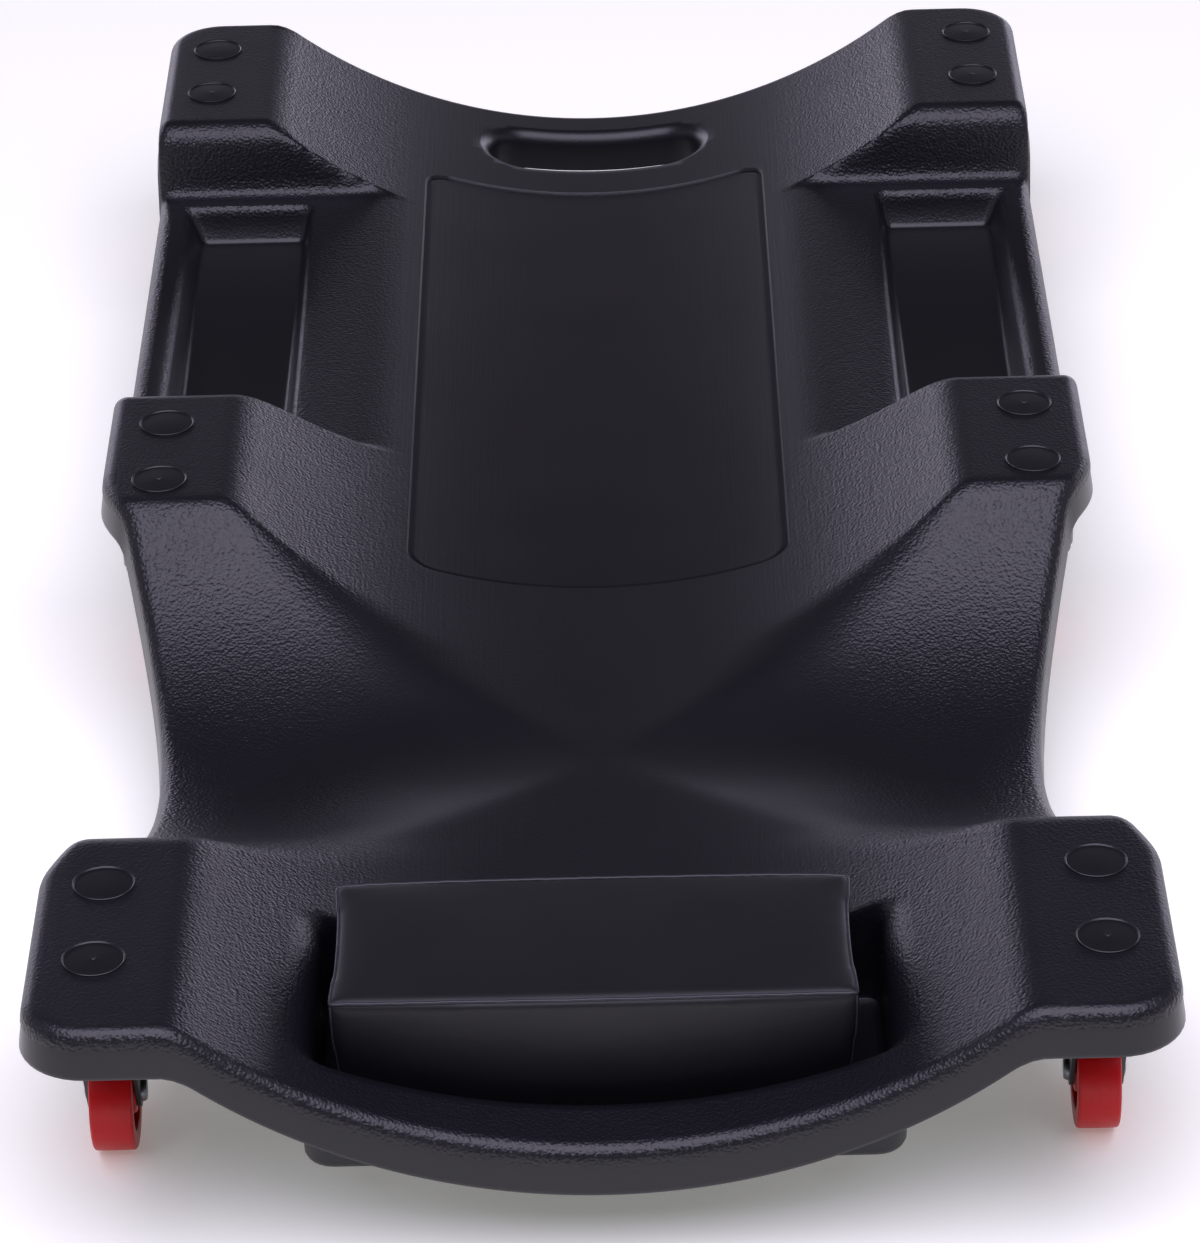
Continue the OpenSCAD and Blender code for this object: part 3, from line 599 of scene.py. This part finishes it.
def deckMoulding(grained, smooth):
    deck = deckBlank()
    print("deck blank,", len(deck.data.polygons), "faces")
    nameMaterials(deck, grained, smooth)
    setFaces(deck, 1, lambda f: f.center.z / mm < (
        skinHeight(f.center.x / mm, f.center.y / mm) - deckSize["grainEnd"]))
    below = mouldedBelow()
    nameMaterials(below, smooth)
    combine(deck, "UNION", below)
    cutters = [headrestWellCutter(), trayCutter(-1), trayCutter(1), slotCutter(), panelCutter()]
    for cutter in cutters:
        nameMaterials(cutter, grained, smooth)
    for cutter in cutters[:3]:
        setFaces(cutter, 1, lambda f: f.normal.z < -0.9)
    setFaces(cutters[4], 1, lambda f: f.normal.z < -0.8)
    takeUp(*cutters)
    bpy.ops.object.join()
    combine(deck, "DIFFERENCE", cutters[0])
    inEditMode(deck, mergePoints)
    smoothShade(deck, 38)
    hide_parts("deck")
    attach(deck, "creeper")
    print("deck moulding,", len(deck.data.polygons), "faces")
    return deck


# Plug caps: a low dome inside a fine raised ring, with a gate mark on some; each sits a little
# tilted, as a pushed-in cap does
capSize = {"radius": 13, "dome": 0.55, "gap": 57, "gateShare": 0.55, "tilt": 0.006, "points": 64}


def capProfile(gate):
    r = capSize["radius"]
    middle = [(0.02, 0.98 if gate else 0.6), (0.75, 0.96 if gate else 0.6), (1.1, capSize["dome"] + 0.06)]
    dome = [(4.5, 0.52), (8.5, 0.4), (r - 1.4, 0.22)]
    raised = [(r - 0.95, 0.2), (r - 0.65, 0.55), (r - 0.35, 0.68), (r - 0.08, 0.5), (r, 0.1), (r, -0.4)]
    return [(radius, deckSize["podTop"] + z) for radius, z in middle + dome + raised]


def plugCaps(plastic):
    pick = random.Random(4)
    most, points = capSize["tilt"], capSize["points"]
    caps = []
    for x, y in casterPlaces:
        for side in (-1, 1):
            turn = pick.uniform(0, 6.28)
            tilt = Vector((pick.uniform(-most, most), pick.uniform(-most, most)))
            centre = Vector((x, y + side * capSize["gap"] / 2))
            rings = []
            for radius, z in capProfile(pick.random() < capSize["gateShare"]):
                ring = []
                for k in range(points):
                    angle = turn + 2 * math.pi * k / points
                    p = Vector((radius * math.cos(angle), radius * math.sin(angle)))
                    ring.append((centre.x + p.x, centre.y + p.y, z + p.dot(tilt)))
                rings.append(ring)
            caps.append(smoothShade(loft("cap_plug", rings), 30))
    takeUp(*caps)
    bpy.ops.object.join()
    piece = caps[0]
    piece.name = "plug_caps"
    nameMaterials(piece, plastic)
    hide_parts("cap_plugs")
    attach(piece, "creeper")
    print("plug caps")
    return piece


# Wheels: round-shouldered tread with a mould line, dished web, hub
wheelSize = {
    "radius": 25, "half": 9.0, "shoulder": 1.6, "bore": 5.06, "hub": 9.5, "web": 5.5, "rim": 17.2,
    "trail": 11, "axle": 25,
}


# Half across the wheel from its bore to its tread, then the same mirrored
def wheelProfile():
    w = wheelSize
    side = [(w["half"], w["bore"] + 0.5), (w["half"], w["hub"] - 0.6), (w["half"] - 0.5, w["hub"])]
    side += [(w["web"] + 0.9, w["hub"] + 0.5), (w["web"], w["hub"] + 1.5), (w["web"], w["rim"] - 1.6)]
    side += [(w["web"] + 0.9, w["rim"] - 0.5), (w["half"] - 0.6, w["rim"]), (w["half"] - 0.1, w["rim"] + 0.6)]
    s = w["shoulder"]
    for a in range(0, 91, 15):
        t = math.radians(a)
        side.append((w["half"] - s + s * math.cos(t), w["radius"] - 0.12 - s + s * math.sin(t)))
    side += [(4.5, w["radius"] - 0.05), (0.55, w["radius"] - 0.02), (0.3, w["radius"])]
    return side + [(-along, radius) for along, radius in reversed(side)]


def wheels(plastic):
    for name, (x, y) in zip(placeNames, casterPlaces):
        centre = Vector((x, y + wheelSize["trail"], wheelSize["axle"]))
        wheel = turned("tread_" + name, wheelProfile(), centre, 96)
        smoothShade(wheel, 35)
        nameMaterials(wheel, plastic)
        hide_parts("wheel_" + name)
        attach(wheel, "roller_" + name)
    print("wheels")


# Headrest: a vinyl cover over foam, puffed by cloth pressure, then its seams. What lies below
# heldBelow or near a seam is held still, and no point may move further than cap
cushionSize = {
    "width": 215, "depth": 93, "top": 102, "base": 34.3, "x": -3.2, "y": -417.3,
    "shrink": 0.6, "taper": 7, "corner": 2.2, "edge": 1.4, "voxel": 3.2, "drawIn": 1.8, "bowOut": 1.2,
    "sag": 2.4, "sagFrom": 70, "sagOver": 25,
    "pressure": 4, "cap": 2.4, "frames": 20, "heldBelow": 45, "seamHold": 5, "cornerHold": 7,
}


def cushionRing(z, out):
    c = cushionSize
    share = (z - c["base"]) / (c["top"] - c["base"])
    drawn = c["taper"] * (1 - share) ** 2 + c["shrink"] - out
    ring = roundOutline(c["width"] - 2 * drawn, c["depth"] - 2 * drawn, c["corner"], 5, 30, 14)
    for p in ring:
        acrossX = max(1 - (2 * p.x / c["width"]) ** 2, 0)
        acrossY = max(1 - (2 * p.y / c["depth"]) ** 2, 0)
        p.x *= 1 - 2 * c["drawIn"] / c["width"] * acrossY
        p.y += (c["bowOut"] if p.y > 0 else -c["bowOut"]) * acrossX * min(abs(2 * p.y / c["depth"]), 1)
    return ring


# How far the top edge hangs below its corners, most along the front
def cushionSag(x, y):
    c = cushionSize
    along = max(1 - (2 * (x - c["x"]) / c["width"]) ** 2, 0)
    front = easeStep((c["y"] - y) / (c["depth"] / 2) - 0.2)
    return c["sag"] * along * front


def sagged(z):
    share = easeStep((z - cushionSize["sagFrom"]) / cushionSize["sagOver"])
    return lambda x, y: z - share * cushionSag(x, y)


# Whether a point of the cover, in millimetres, is held while the cover is puffed
def isHeld(q):
    c = cushionSize
    edgeX = c["width"] / 2 - abs(q.x - c["x"])
    edgeY = c["depth"] / 2 - abs(q.y - c["y"])
    nearTop = c["top"] - cushionSag(q.x, q.y) - q.z
    onTopSeam = min(edgeX, edgeY) < c["seamHold"] and nearTop < c["seamHold"]
    onCorner = edgeX < c["cornerHold"] and edgeY < c["cornerHold"]
    return q.z < c["heldBelow"] or onTopSeam or onCorner


def puffUp(pad):
    c = cushionSize
    rest = [p.co.copy() for p in pad.data.vertices]
    held = pad.vertex_groups.new(name="held")
    held.add([p.index for p in pad.data.vertices if isHeld(p.co / mm)], 1.0, "REPLACE")
    takeUp(pad)
    cloth = pad.modifiers.new("cloth", "CLOTH")
    cloth.settings.use_pressure = True
    cloth.settings.uniform_pressure_force = c["pressure"]
    cloth.settings.effector_weights.gravity = 0
    cloth.settings.vertex_group_mass = "held"
    cloth.settings.quality = 6
    cloth.point_cache.frame_start = 1
    cloth.point_cache.frame_end = c["frames"]
    for step in range(1, c["frames"] + 1):
        bpy.context.scene.frame_set(step)
    bpy.ops.object.modifier_apply(modifier="cloth")
    for p, before in zip(pad.data.vertices, rest):
        move = p.co - before
        if move.length > c["cap"] * mm:
            p.co = before + move * (c["cap"] * mm / move.length)
    pad.vertex_groups.clear()


def vinylHeadrest(vinyl):
    c = cushionSize
    crest = c["top"] - c["shrink"] - c["edge"]
    levels = [(c["base"], -2.5), (c["base"] + 1.2, -0.6), (c["base"] + 4, 0), (55, 0), (75, 0), (90, 0)]
    levels.append((crest, 0))
    for a in (30, 60, 90):
        rise, back = roundPoint(c["edge"], a)
        levels.append((crest + rise, -back))
    rings = [ringAt(cushionRing(z, out), (c["x"], c["y"]), sagged(z)) for z, out in levels]
    pad = loft("headrest_pad", rings)
    applyModifier(pad, "REMESH", mode="VOXEL", voxel_size=c["voxel"] * mm)
    puffUp(pad)
    applyModifier(pad, "SUBSURF", levels=1, render_levels=1)
    smoothShade(pad, 180)
    nameMaterials(pad, vinyl)
    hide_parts("headrest_cushion")
    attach(pad, "creeper")
    print("headrest pad,", len(pad.data.polygons), "faces")
    return pad


def tube(name, points, radius, sides, closed):
    count = len(points)
    rings = []
    for k, point in enumerate(points):
        before = points[(k - 1) % count] if closed or k else points[0]
        after = points[(k + 1) % count] if closed or k < count - 1 else points[-1]
        along = (after - before).normalized()
        up = Vector((0, 0, 1)) if abs(along.z) < 0.9 else Vector((0, 1, 0))
        across = along.cross(up).normalized()
        over = across.cross(along)
        ring = []
        for a in range(sides):
            angle = 2 * math.pi * a / sides
            ring.append(point + radius * (math.cos(angle) * across + math.sin(angle) * over))
        rings.append(ring)
    if closed:
        rings.append(rings[0])
    return loft(name, rings, filled=not closed)


# Welt along the top edge and a fold down each corner, laid on the puffed cover
seamSize = {
    "welt": 0.85, "fold": 0.5, "sides": 8, "wander": 0.14,
    "foldFrom": 1.6, "foldTo": 40, "foldPoints": 16,
}


def onPad(pad, spot):
    return pad.closest_point_on_mesh(spot * mm)[1] / mm


def headrestSeams(vinyl, pad):
    c, s = cushionSize, seamSize
    pick = random.Random(7)
    top = roundOutline(c["width"] + 2, c["depth"] + 2, 1.2, 3, 90, 40)
    laid = [onPad(pad, Vector((c["x"] + p.x, c["y"] + p.y, c["top"] + 1))) for p in top]
    welt = []
    for k, spot in enumerate(laid):
        evened = (laid[k - 1] + spot * 2 + laid[(k + 1) % len(laid)]) / 4
        welt.append(evened + Vector((0, 0, pick.uniform(-s["wander"], s["wander"]))))
    seams = [tube("top_welt", welt, s["welt"], s["sides"], True)]
    for sx in (-1, 1):
        for sy in (-1, 1):
            x = c["x"] + sx * (c["width"] / 2 + 1)
            y = c["y"] + sy * (c["depth"] / 2 + 1)
            fold = []
            for k in range(s["foldPoints"]):
                z = mix(c["top"] - s["foldFrom"], s["foldTo"], k / (s["foldPoints"] - 1))
                fold.append(onPad(pad, Vector((x, y, z))))
            seams.append(tube("corner_seam", fold, s["fold"], s["sides"], False))
    takeUp(*seams)
    bpy.ops.object.join()
    piece = seams[0]
    piece.name = "headrest_seams"
    smoothShade(piece, 60)
    nameMaterials(piece, vinyl)
    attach(piece, "creeper")
    print("headrest seams")
    return piece


# Turns an sRGB hex colour to linear light
def linear(hexColour):
    channels = [int(hexColour[i:i + 2], 16) / 255 for i in (1, 3, 5)]
    return [c / 12.92 if c <= 0.04045 else ((c + 0.055) / 1.055) ** 2.4 for c in channels] + [1]


def newMaterial(name, hexColour, **sockets):
    material = bpy.data.materials.new(name)
    material.use_nodes = True
    shader = material.node_tree.nodes["Principled BSDF"]
    shader.inputs["Base Color"].default_value = linear(hexColour)
    for socket, value in sockets.items():
        shader.inputs[socket.replace("_", " ")].default_value = value
    return material, material.node_tree, shader


# Adds one node: its settings, then values or links for its inputs
def addNode(tree, kind, settings=None, inputs=None):
    node = tree.nodes.new("ShaderNode" + kind)
    for name, value in (settings or {}).items():
        setattr(node, name, value)
    for name, value in (inputs or {}).items():
        if isinstance(value, bpy.types.NodeSocket):
            tree.links.new(value, node.inputs[name])
        else:
            node.inputs[name].default_value = value
    return node


def feed(tree, shader, **sockets):
    for name, output in sockets.items():
        tree.links.new(output, shader.inputs[name.replace("_", " ")])


# Where the deck's grain lies: each fade runs along an axis, or away from the middle line, from
# one place to another in millimetres and from one strength to another; then they are joined
grainFades = {
    "sides": ("Away", 75, 150, 0.12, 1.0),
    "headEnd": ("Y", -482, -440, 0.8, 0.0),
    "aboveTrays": ("Z", 70, 77, 0.3, 1.0),
    "headHalf": ("Y", 50, 64, 1.0, 0.0),
    "podTops": ("Z", 112.4, 114.7, 1.0, 0.45),
    "wallRise": ("Y", -140, -84, 0.0, 0.6),
    "wallEnd": ("Y", -62, -52, 1.0, 0.0),
    "wallSide": ("Away", 110, 185, 0.0, 1.0),
    "streaks": ("Away", 90, 170, 0.4, 0.05),
}
grainJoins = [
    ("spread", "MAXIMUM", "sides", "headEnd"),
    ("outsideTrays", "MAXIMUM", "aboveTrays", "headHalf"),
    ("worn", "MULTIPLY", "podTops", "outsideTrays"),
    ("strength", "MULTIPLY", "worn", "grain"),
    ("leather", "MULTIPLY", "spread", "strength"),
    ("walls", "MULTIPLY", "wallRise", "wallEnd"),
    ("wallStrength", "MULTIPLY", "wallSide", "grain"),
    ("pebble", "MULTIPLY", "walls", "wallStrength"),
]
# Real widths of the patterns and depths of their bumps, in millimetres
deckGrain = {
    "cells": 1.5, "creases": 1.6, "leatherDeep": 0.37, "pebbles": 2.4, "pebbleDeep": 0.5,
    "streakWide": 1.2, "streakLong": 70, "streakDeep": 0.2, "clouds": 45,
}


# Blow moulded polyethylene: satin, with the leather grain of the mould, about 1.5 mm wide. The
# grain fades to fine lengthwise draw lines in the middle of the trough, and is a coarser pebble
# of 2.4 mm on the front walls of the middle pods
def deckPlastic(name, hexColour, grain, roughness):
    g = deckGrain
    material, tree, shader = newMaterial(name, hexColour,
                                         Roughness=roughness, IOR=1.5, Specular_IOR_Level=0.4)
    place = addNode(tree, "TexCoord").outputs["Object"]
    split = addNode(tree, "SeparateXYZ", inputs={0: place})
    away = addNode(tree, "Math", {"operation": "ABSOLUTE"}, {0: split.outputs["X"]})
    axes = {"Away": away.outputs[0], "Y": split.outputs["Y"], "Z": split.outputs["Z"]}
    shares = {"grain": grain}
    for fade, (axis, start, end, low, high) in grainFades.items():
        limits = {"From Min": start * mm, "From Max": end * mm, "To Min": low, "To Max": high}
        ramp = addNode(tree, "MapRange", {"interpolation_type": "SMOOTHSTEP"},
                       {"Value": axes[axis], **limits})
        shares[fade] = ramp.outputs[0]
    for result, how, a, b in grainJoins:
        shares[result] = addNode(tree, "Math", {"operation": how}, {0: shares[a], 1: shares[b]}).outputs[0]
    cells = addNode(tree, "TexVoronoi", {"feature": "SMOOTH_F1"},
                    {"Vector": place, "Scale": 1 / (g["cells"] * mm), "Smoothness": 0.4})
    creases = addNode(tree, "TexNoise", inputs={
        "Vector": place, "Scale": 1 / (g["creases"] * mm), "Detail": 2.0, "Roughness": 0.6})
    leather = addNode(tree, "Math", {"operation": "MULTIPLY_ADD"},
                      {0: creases.outputs[0], 1: 1.1, 2: cells.outputs["Distance"]})
    pebbles = addNode(tree, "TexVoronoi", {"feature": "SMOOTH_F1"},
                      {"Vector": place, "Scale": 1 / (g["pebbles"] * mm), "Smoothness": 0.6})
    thin, long = 1 / (g["streakWide"] * mm), 1 / (g["streakLong"] * mm)
    drawn = addNode(tree, "Mapping", inputs={0: place, "Scale": (thin, long, thin)})
    streaks = addNode(tree, "TexNoise", inputs={"Vector": drawn.outputs[0], "Scale": 1.0, "Detail": 3.0})
    bumpPebble = addNode(tree, "Bump", {"invert": True}, {
        "Height": pebbles.outputs["Distance"], "Strength": shares["pebble"],
        "Distance": g["pebbleDeep"] * mm})
    bumpGrain = addNode(tree, "Bump", {"invert": True}, {
        "Height": leather.outputs[0], "Strength": shares["leather"], "Distance": g["leatherDeep"] * mm,
        "Normal": bumpPebble.outputs[0]})
    bumpLine = addNode(tree, "Bump", inputs={
        "Height": streaks.outputs[0], "Strength": shares["streaks"], "Distance": g["streakDeep"] * mm,
        "Normal": bumpGrain.outputs[0]})
    cloud = addNode(tree, "TexNoise", inputs={
        "Vector": place, "Scale": 1 / (g["clouds"] * mm), "Detail": 4.0})
    dull = addNode(tree, "MapRange", inputs={
        "Value": cloud.outputs[0], "To Min": roughness - 0.05, "To Max": roughness + 0.05})
    feed(tree, shader, Normal=bumpLine.outputs[0], Roughness=dull.outputs[0])
    return material


# Injection moulded caps: finer and shinier than the deck, rubbed in places
def capPlastic():
    material, tree, shader = newMaterial("injection_moulded_cap_plastic", "#0e0d12",
                                         Roughness=0.34, IOR=1.5, Specular_IOR_Level=0.4)
    place = addNode(tree, "TexCoord").outputs["Object"]
    fine = addNode(tree, "TexNoise", inputs={"Vector": place, "Scale": 1 / (0.9 * mm), "Detail": 3.0})
    bump = addNode(tree, "Bump", inputs={"Height": fine.outputs[0], "Strength": 0.12, "Distance": 0.1 * mm})
    rub = addNode(tree, "MapRange", inputs={"Value": fine.outputs[0], "To Min": 0.28, "To Max": 0.42})
    feed(tree, shader, Normal=bump.outputs[0], Roughness=rub.outputs[0])
    return material


# Vinyl cloth: fine pressed leather grain of 0.9 mm on a slightly wavy face; its seams are rubbed
# shinier, and their lighter colour is a painted highlight
def vinylCloth(name, hexColour, roughness):
    material, tree, shader = newMaterial(name, hexColour,
                                         Roughness=roughness, IOR=1.48, Specular_IOR_Level=0.4)
    place = addNode(tree, "TexCoord").outputs["Object"]
    grain = addNode(tree, "TexVoronoi", inputs={"Vector": place, "Scale": 1 / (0.9 * mm)})
    wave = addNode(tree, "TexNoise", inputs={"Vector": place, "Scale": 1 / (38 * mm), "Detail": 2.0})
    soft = addNode(tree, "Bump", inputs={"Height": wave.outputs[0], "Strength": 0.5, "Distance": 0.9 * mm})
    fine = addNode(tree, "Bump", inputs={
        "Height": grain.outputs["Distance"], "Strength": 0.16, "Distance": 0.16 * mm,
        "Normal": soft.outputs[0]})
    dull = addNode(tree, "MapRange", inputs={
        "Value": wave.outputs[0], "To Min": roughness - 0.05, "To Max": roughness + 0.07})
    feed(tree, shader, Normal=fine.outputs[0], Roughness=dull.outputs[0])
    return material


# Cast red polyurethane: satin, with faint rolled-in dirt in clouds of about 7 mm
def wheelPlastic():
    red, dirtyRed = "#b8080e", "#70070b"
    material, tree, shader = newMaterial("cast_polyurethane_red", red,
                                         Roughness=0.4, IOR=1.5, Specular_IOR_Level=0.3)
    place = addNode(tree, "TexCoord").outputs["Object"]
    dirt = addNode(tree, "TexNoise", inputs={
        "Vector": place, "Scale": 1 / (7 * mm), "Detail": 6.0, "Roughness": 0.65})
    share = addNode(tree, "MapRange", {"interpolation_type": "SMOOTHSTEP"}, {
        "Value": dirt.outputs[0], "From Min": 0.55, "From Max": 0.8, "To Min": 0.0, "To Max": 0.5})
    shade = addNode(tree, "Mix", {"data_type": "RGBA"},
                    {0: share.outputs[0], 6: linear(red), 7: linear(dirtyRed)})
    bump = addNode(tree, "Bump", inputs={"Height": dirt.outputs[0], "Strength": 0.15, "Distance": 0.2 * mm})
    feed(tree, shader, Base_Color=shade.outputs[2], Normal=bump.outputs[0])
    return material


# Black powder coat on pressed steel: slight orange peel
def powderCoat():
    material, tree, shader = newMaterial("black_powder_coat", "#1a1a1d", Roughness=0.38, IOR=1.5)
    place = addNode(tree, "TexCoord").outputs["Object"]
    peel = addNode(tree, "TexNoise", inputs={"Vector": place, "Scale": 1 / (1.4 * mm), "Detail": 2.0})
    bump = addNode(tree, "Bump", inputs={"Height": peel.outputs[0], "Strength": 0.25, "Distance": 0.12 * mm})
    feed(tree, shader, Normal=bump.outputs[0])
    return material


# Plated or ground steel: cloudy, with a faint unevenness of about 2.5 mm
def steel(name, hexColour, roughness):
    material, tree, shader = newMaterial(name, hexColour, Metallic=1.0, Roughness=roughness)
    place = addNode(tree, "TexCoord").outputs["Object"]
    cloud = addNode(tree, "TexNoise", inputs={"Vector": place, "Scale": 1 / (2.5 * mm), "Detail": 5.0})
    dull = addNode(tree, "MapRange", inputs={
        "Value": cloud.outputs[0], "To Min": roughness - 0.08, "To Max": roughness + 0.14})
    bump = addNode(tree, "Bump", inputs={"Height": cloud.outputs[0], "Strength": 0.1, "Distance": 0.05 * mm})
    feed(tree, shader, Normal=bump.outputs[0], Roughness=dull.outputs[0])
    return material


# Birch plywood: pale plies edge on, and a long fine grain
def plywood():
    pale, brown = "#c9a577", "#9a7246"
    material, tree, shader = newMaterial("birch_plywood", pale, Roughness=0.6)
    place = addNode(tree, "TexCoord").outputs["Object"]
    plies = addNode(tree, "TexWave", {"bands_direction": "Z"},
                    {"Vector": place, "Scale": 1 / (9 * mm), "Distortion": 0.4})
    drawn = addNode(tree, "Mapping", inputs={0: place, "Scale": (1 / (40 * mm), 1 / (2 * mm), 1 / (2 * mm))})
    grain = addNode(tree, "TexNoise", inputs={"Vector": drawn.outputs[0], "Scale": 1.0, "Detail": 5.0})
    share = addNode(tree, "Math", {"operation": "MULTIPLY"}, {0: plies.outputs[1], 1: grain.outputs[0]})
    shade = addNode(tree, "Mix", {"data_type": "RGBA"},
                    {0: share.outputs[0], 6: linear(pale), 7: linear(brown)})
    feed(tree, shader, Base_Color=shade.outputs[2])
    return material


grainedPlastic = deckPlastic("grained_polyethylene", "#0f0e14", 0.75, 0.36)
smoothPlastic = deckPlastic("smooth_polyethylene", "#0f0e13", 0.06, 0.32)
capMaterial = capPlastic()
vinyl = vinylCloth("pressed_vinyl_cloth", "#0d0c10", 0.45)
# The seams' lighter colour is a painted highlight along the pad's top edge and corners; only their lower
# roughness is rubbed vinyl
seamVinylPaintedHighlight = vinylCloth("vinyl_seam_painted_highlight", "#242329", 0.34)
wheelMaterial = wheelPlastic()
paint = powderCoat()
frameFinishes = {
    "plate_paint": paint,
    "fork_paint": paint,
    "zinc_steel": steel("zinc_plated_steel", "#85888e", 0.36),
    "bright_steel": steel("ground_bright_steel", "#c8cacd", 0.22),
    "plywood": plywood(),
}
slotOfNode = {s["node"]: s["material_slot"] for s in frame["record"]["subparts"]}
for name, node in nodes.items():
    if slotOfNode[name] in frameFinishes:
        nameMaterials(node, frameFinishes[slotOfNode[name]])
print("materials")

deckMoulding(grainedPlastic, smoothPlastic)
plugCaps(capMaterial)
wheels(wheelMaterial)
headrestPad = vinylHeadrest(vinyl)
headrestSeams(seamVinylPaintedHighlight, headrestPad)

# Studio: white paper floor, wide soft boxes, and the photograph's long lens. A box is its name,
# place, aim, size in metres and power in watts; they share one slightly cold tint
boxTint = "#ece6ff"
softBoxes = [
    ("front_top_box", (0, -1.1, 2.4), (0, 0, 0.05), (3.2, 2.8), 122),
    ("back_left_box", (-1.7, 2.7, 0.45), (0, 0, 0.3), (2.0, 0.8), 15),
    ("back_right_box", (1.7, 2.7, 0.45), (0, 0, 0.3), (2.0, 0.8), 15),
    ("back_box", (0, 3.2, 0.45), (0, 0, 0.45), (2.2, 0.8), 4.0),
    ("left_box", (-2.2, 0, 0.9), (0, 0, 0.1), (2.5, 1.0), 5),
    ("right_box", (2.2, 0, 0.9), (0, 0, 0.1), (2.5, 1.0), 5),
]
floorSetting = {"size": 14, "gap": 0.5, "paper": "#f7f8ee", "glow": "#fffffa", "glowStrength": 0.2}
worldStrength = 0.06
# Solved from the photograph: place in millimetres, angles in degrees, focal length in pixels
cameraSetting = {
    "place": (19.23, -2323.19, 1319.62), "pitch": 29.346, "yaw": -0.481, "roll": -1.578,
    "focalPixels": 5550, "tall": 1243,
}


def studioFloor():
    f = floorSetting
    putAllDown()
    bpy.ops.mesh.primitive_plane_add(size=f["size"], location=(0, 0, -f["gap"] * mm))
    floor = bpy.context.object
    floor.name = "studio_floor"
    material, tree, shader = newMaterial("matt_white_paper", f["paper"], Roughness=0.7)
    shader.inputs["Emission Color"].default_value = linear(f["glow"])
    shader.inputs["Emission Strength"].default_value = f["glowStrength"]
    nameMaterials(floor, material)


def softLight(name, place, aim, size, power):
    data = bpy.data.lights.new(name, "AREA")
    data.shape = "RECTANGLE"
    data.size, data.size_y = size
    data.energy = power
    data.color = linear(boxTint)[:3]
    light = bpy.data.objects.new(name, data)
    bpy.context.scene.collection.objects.link(light)
    light.location = place
    light.rotation_mode = "QUATERNION"
    light.rotation_quaternion = (Vector(aim) - Vector(place)).to_track_quat("-Z", "Y")


def dimWorld():
    world = bpy.data.worlds.new("studio_dim")
    world.use_nodes = True
    background = world.node_tree.nodes["Background"]
    background.inputs["Color"].default_value = (1, 1, 1, 1)
    background.inputs["Strength"].default_value = worldStrength
    bpy.context.scene.world = world


def photoCamera():
    c = cameraSetting
    pitch, yaw, roll = (math.radians(c[k]) for k in ("pitch", "yaw", "roll"))
    forward = Vector((math.sin(yaw) * math.cos(pitch), math.cos(yaw) * math.cos(pitch), -math.sin(pitch)))
    right = Vector((math.cos(yaw), -math.sin(yaw), 0))
    up = right.cross(forward)
    turnedRight = right * math.cos(roll) + up * math.sin(roll)
    turnedUp = -right * math.sin(roll) + up * math.cos(roll)
    data = bpy.data.cameras.new("photo_camera")
    data.sensor_width = 36
    data.lens = c["focalPixels"] / c["tall"] * data.sensor_width
    data.clip_end = 50
    camera = bpy.data.objects.new("photo_camera", data)
    bpy.context.scene.collection.objects.link(camera)
    camera.matrix_world = Matrix((
        (turnedRight.x, turnedUp.x, -forward.x, c["place"][0] * mm),
        (turnedRight.y, turnedUp.y, -forward.y, c["place"][1] * mm),
        (turnedRight.z, turnedUp.z, -forward.z, c["place"][2] * mm),
        (0, 0, 0, 1)))
    bpy.context.scene.camera = camera


studioFloor()
for box in softBoxes:
    softLight(*box)
dimWorld()
bpy.context.scene.view_settings.view_transform = "Standard"
photoCamera()
print("studio")
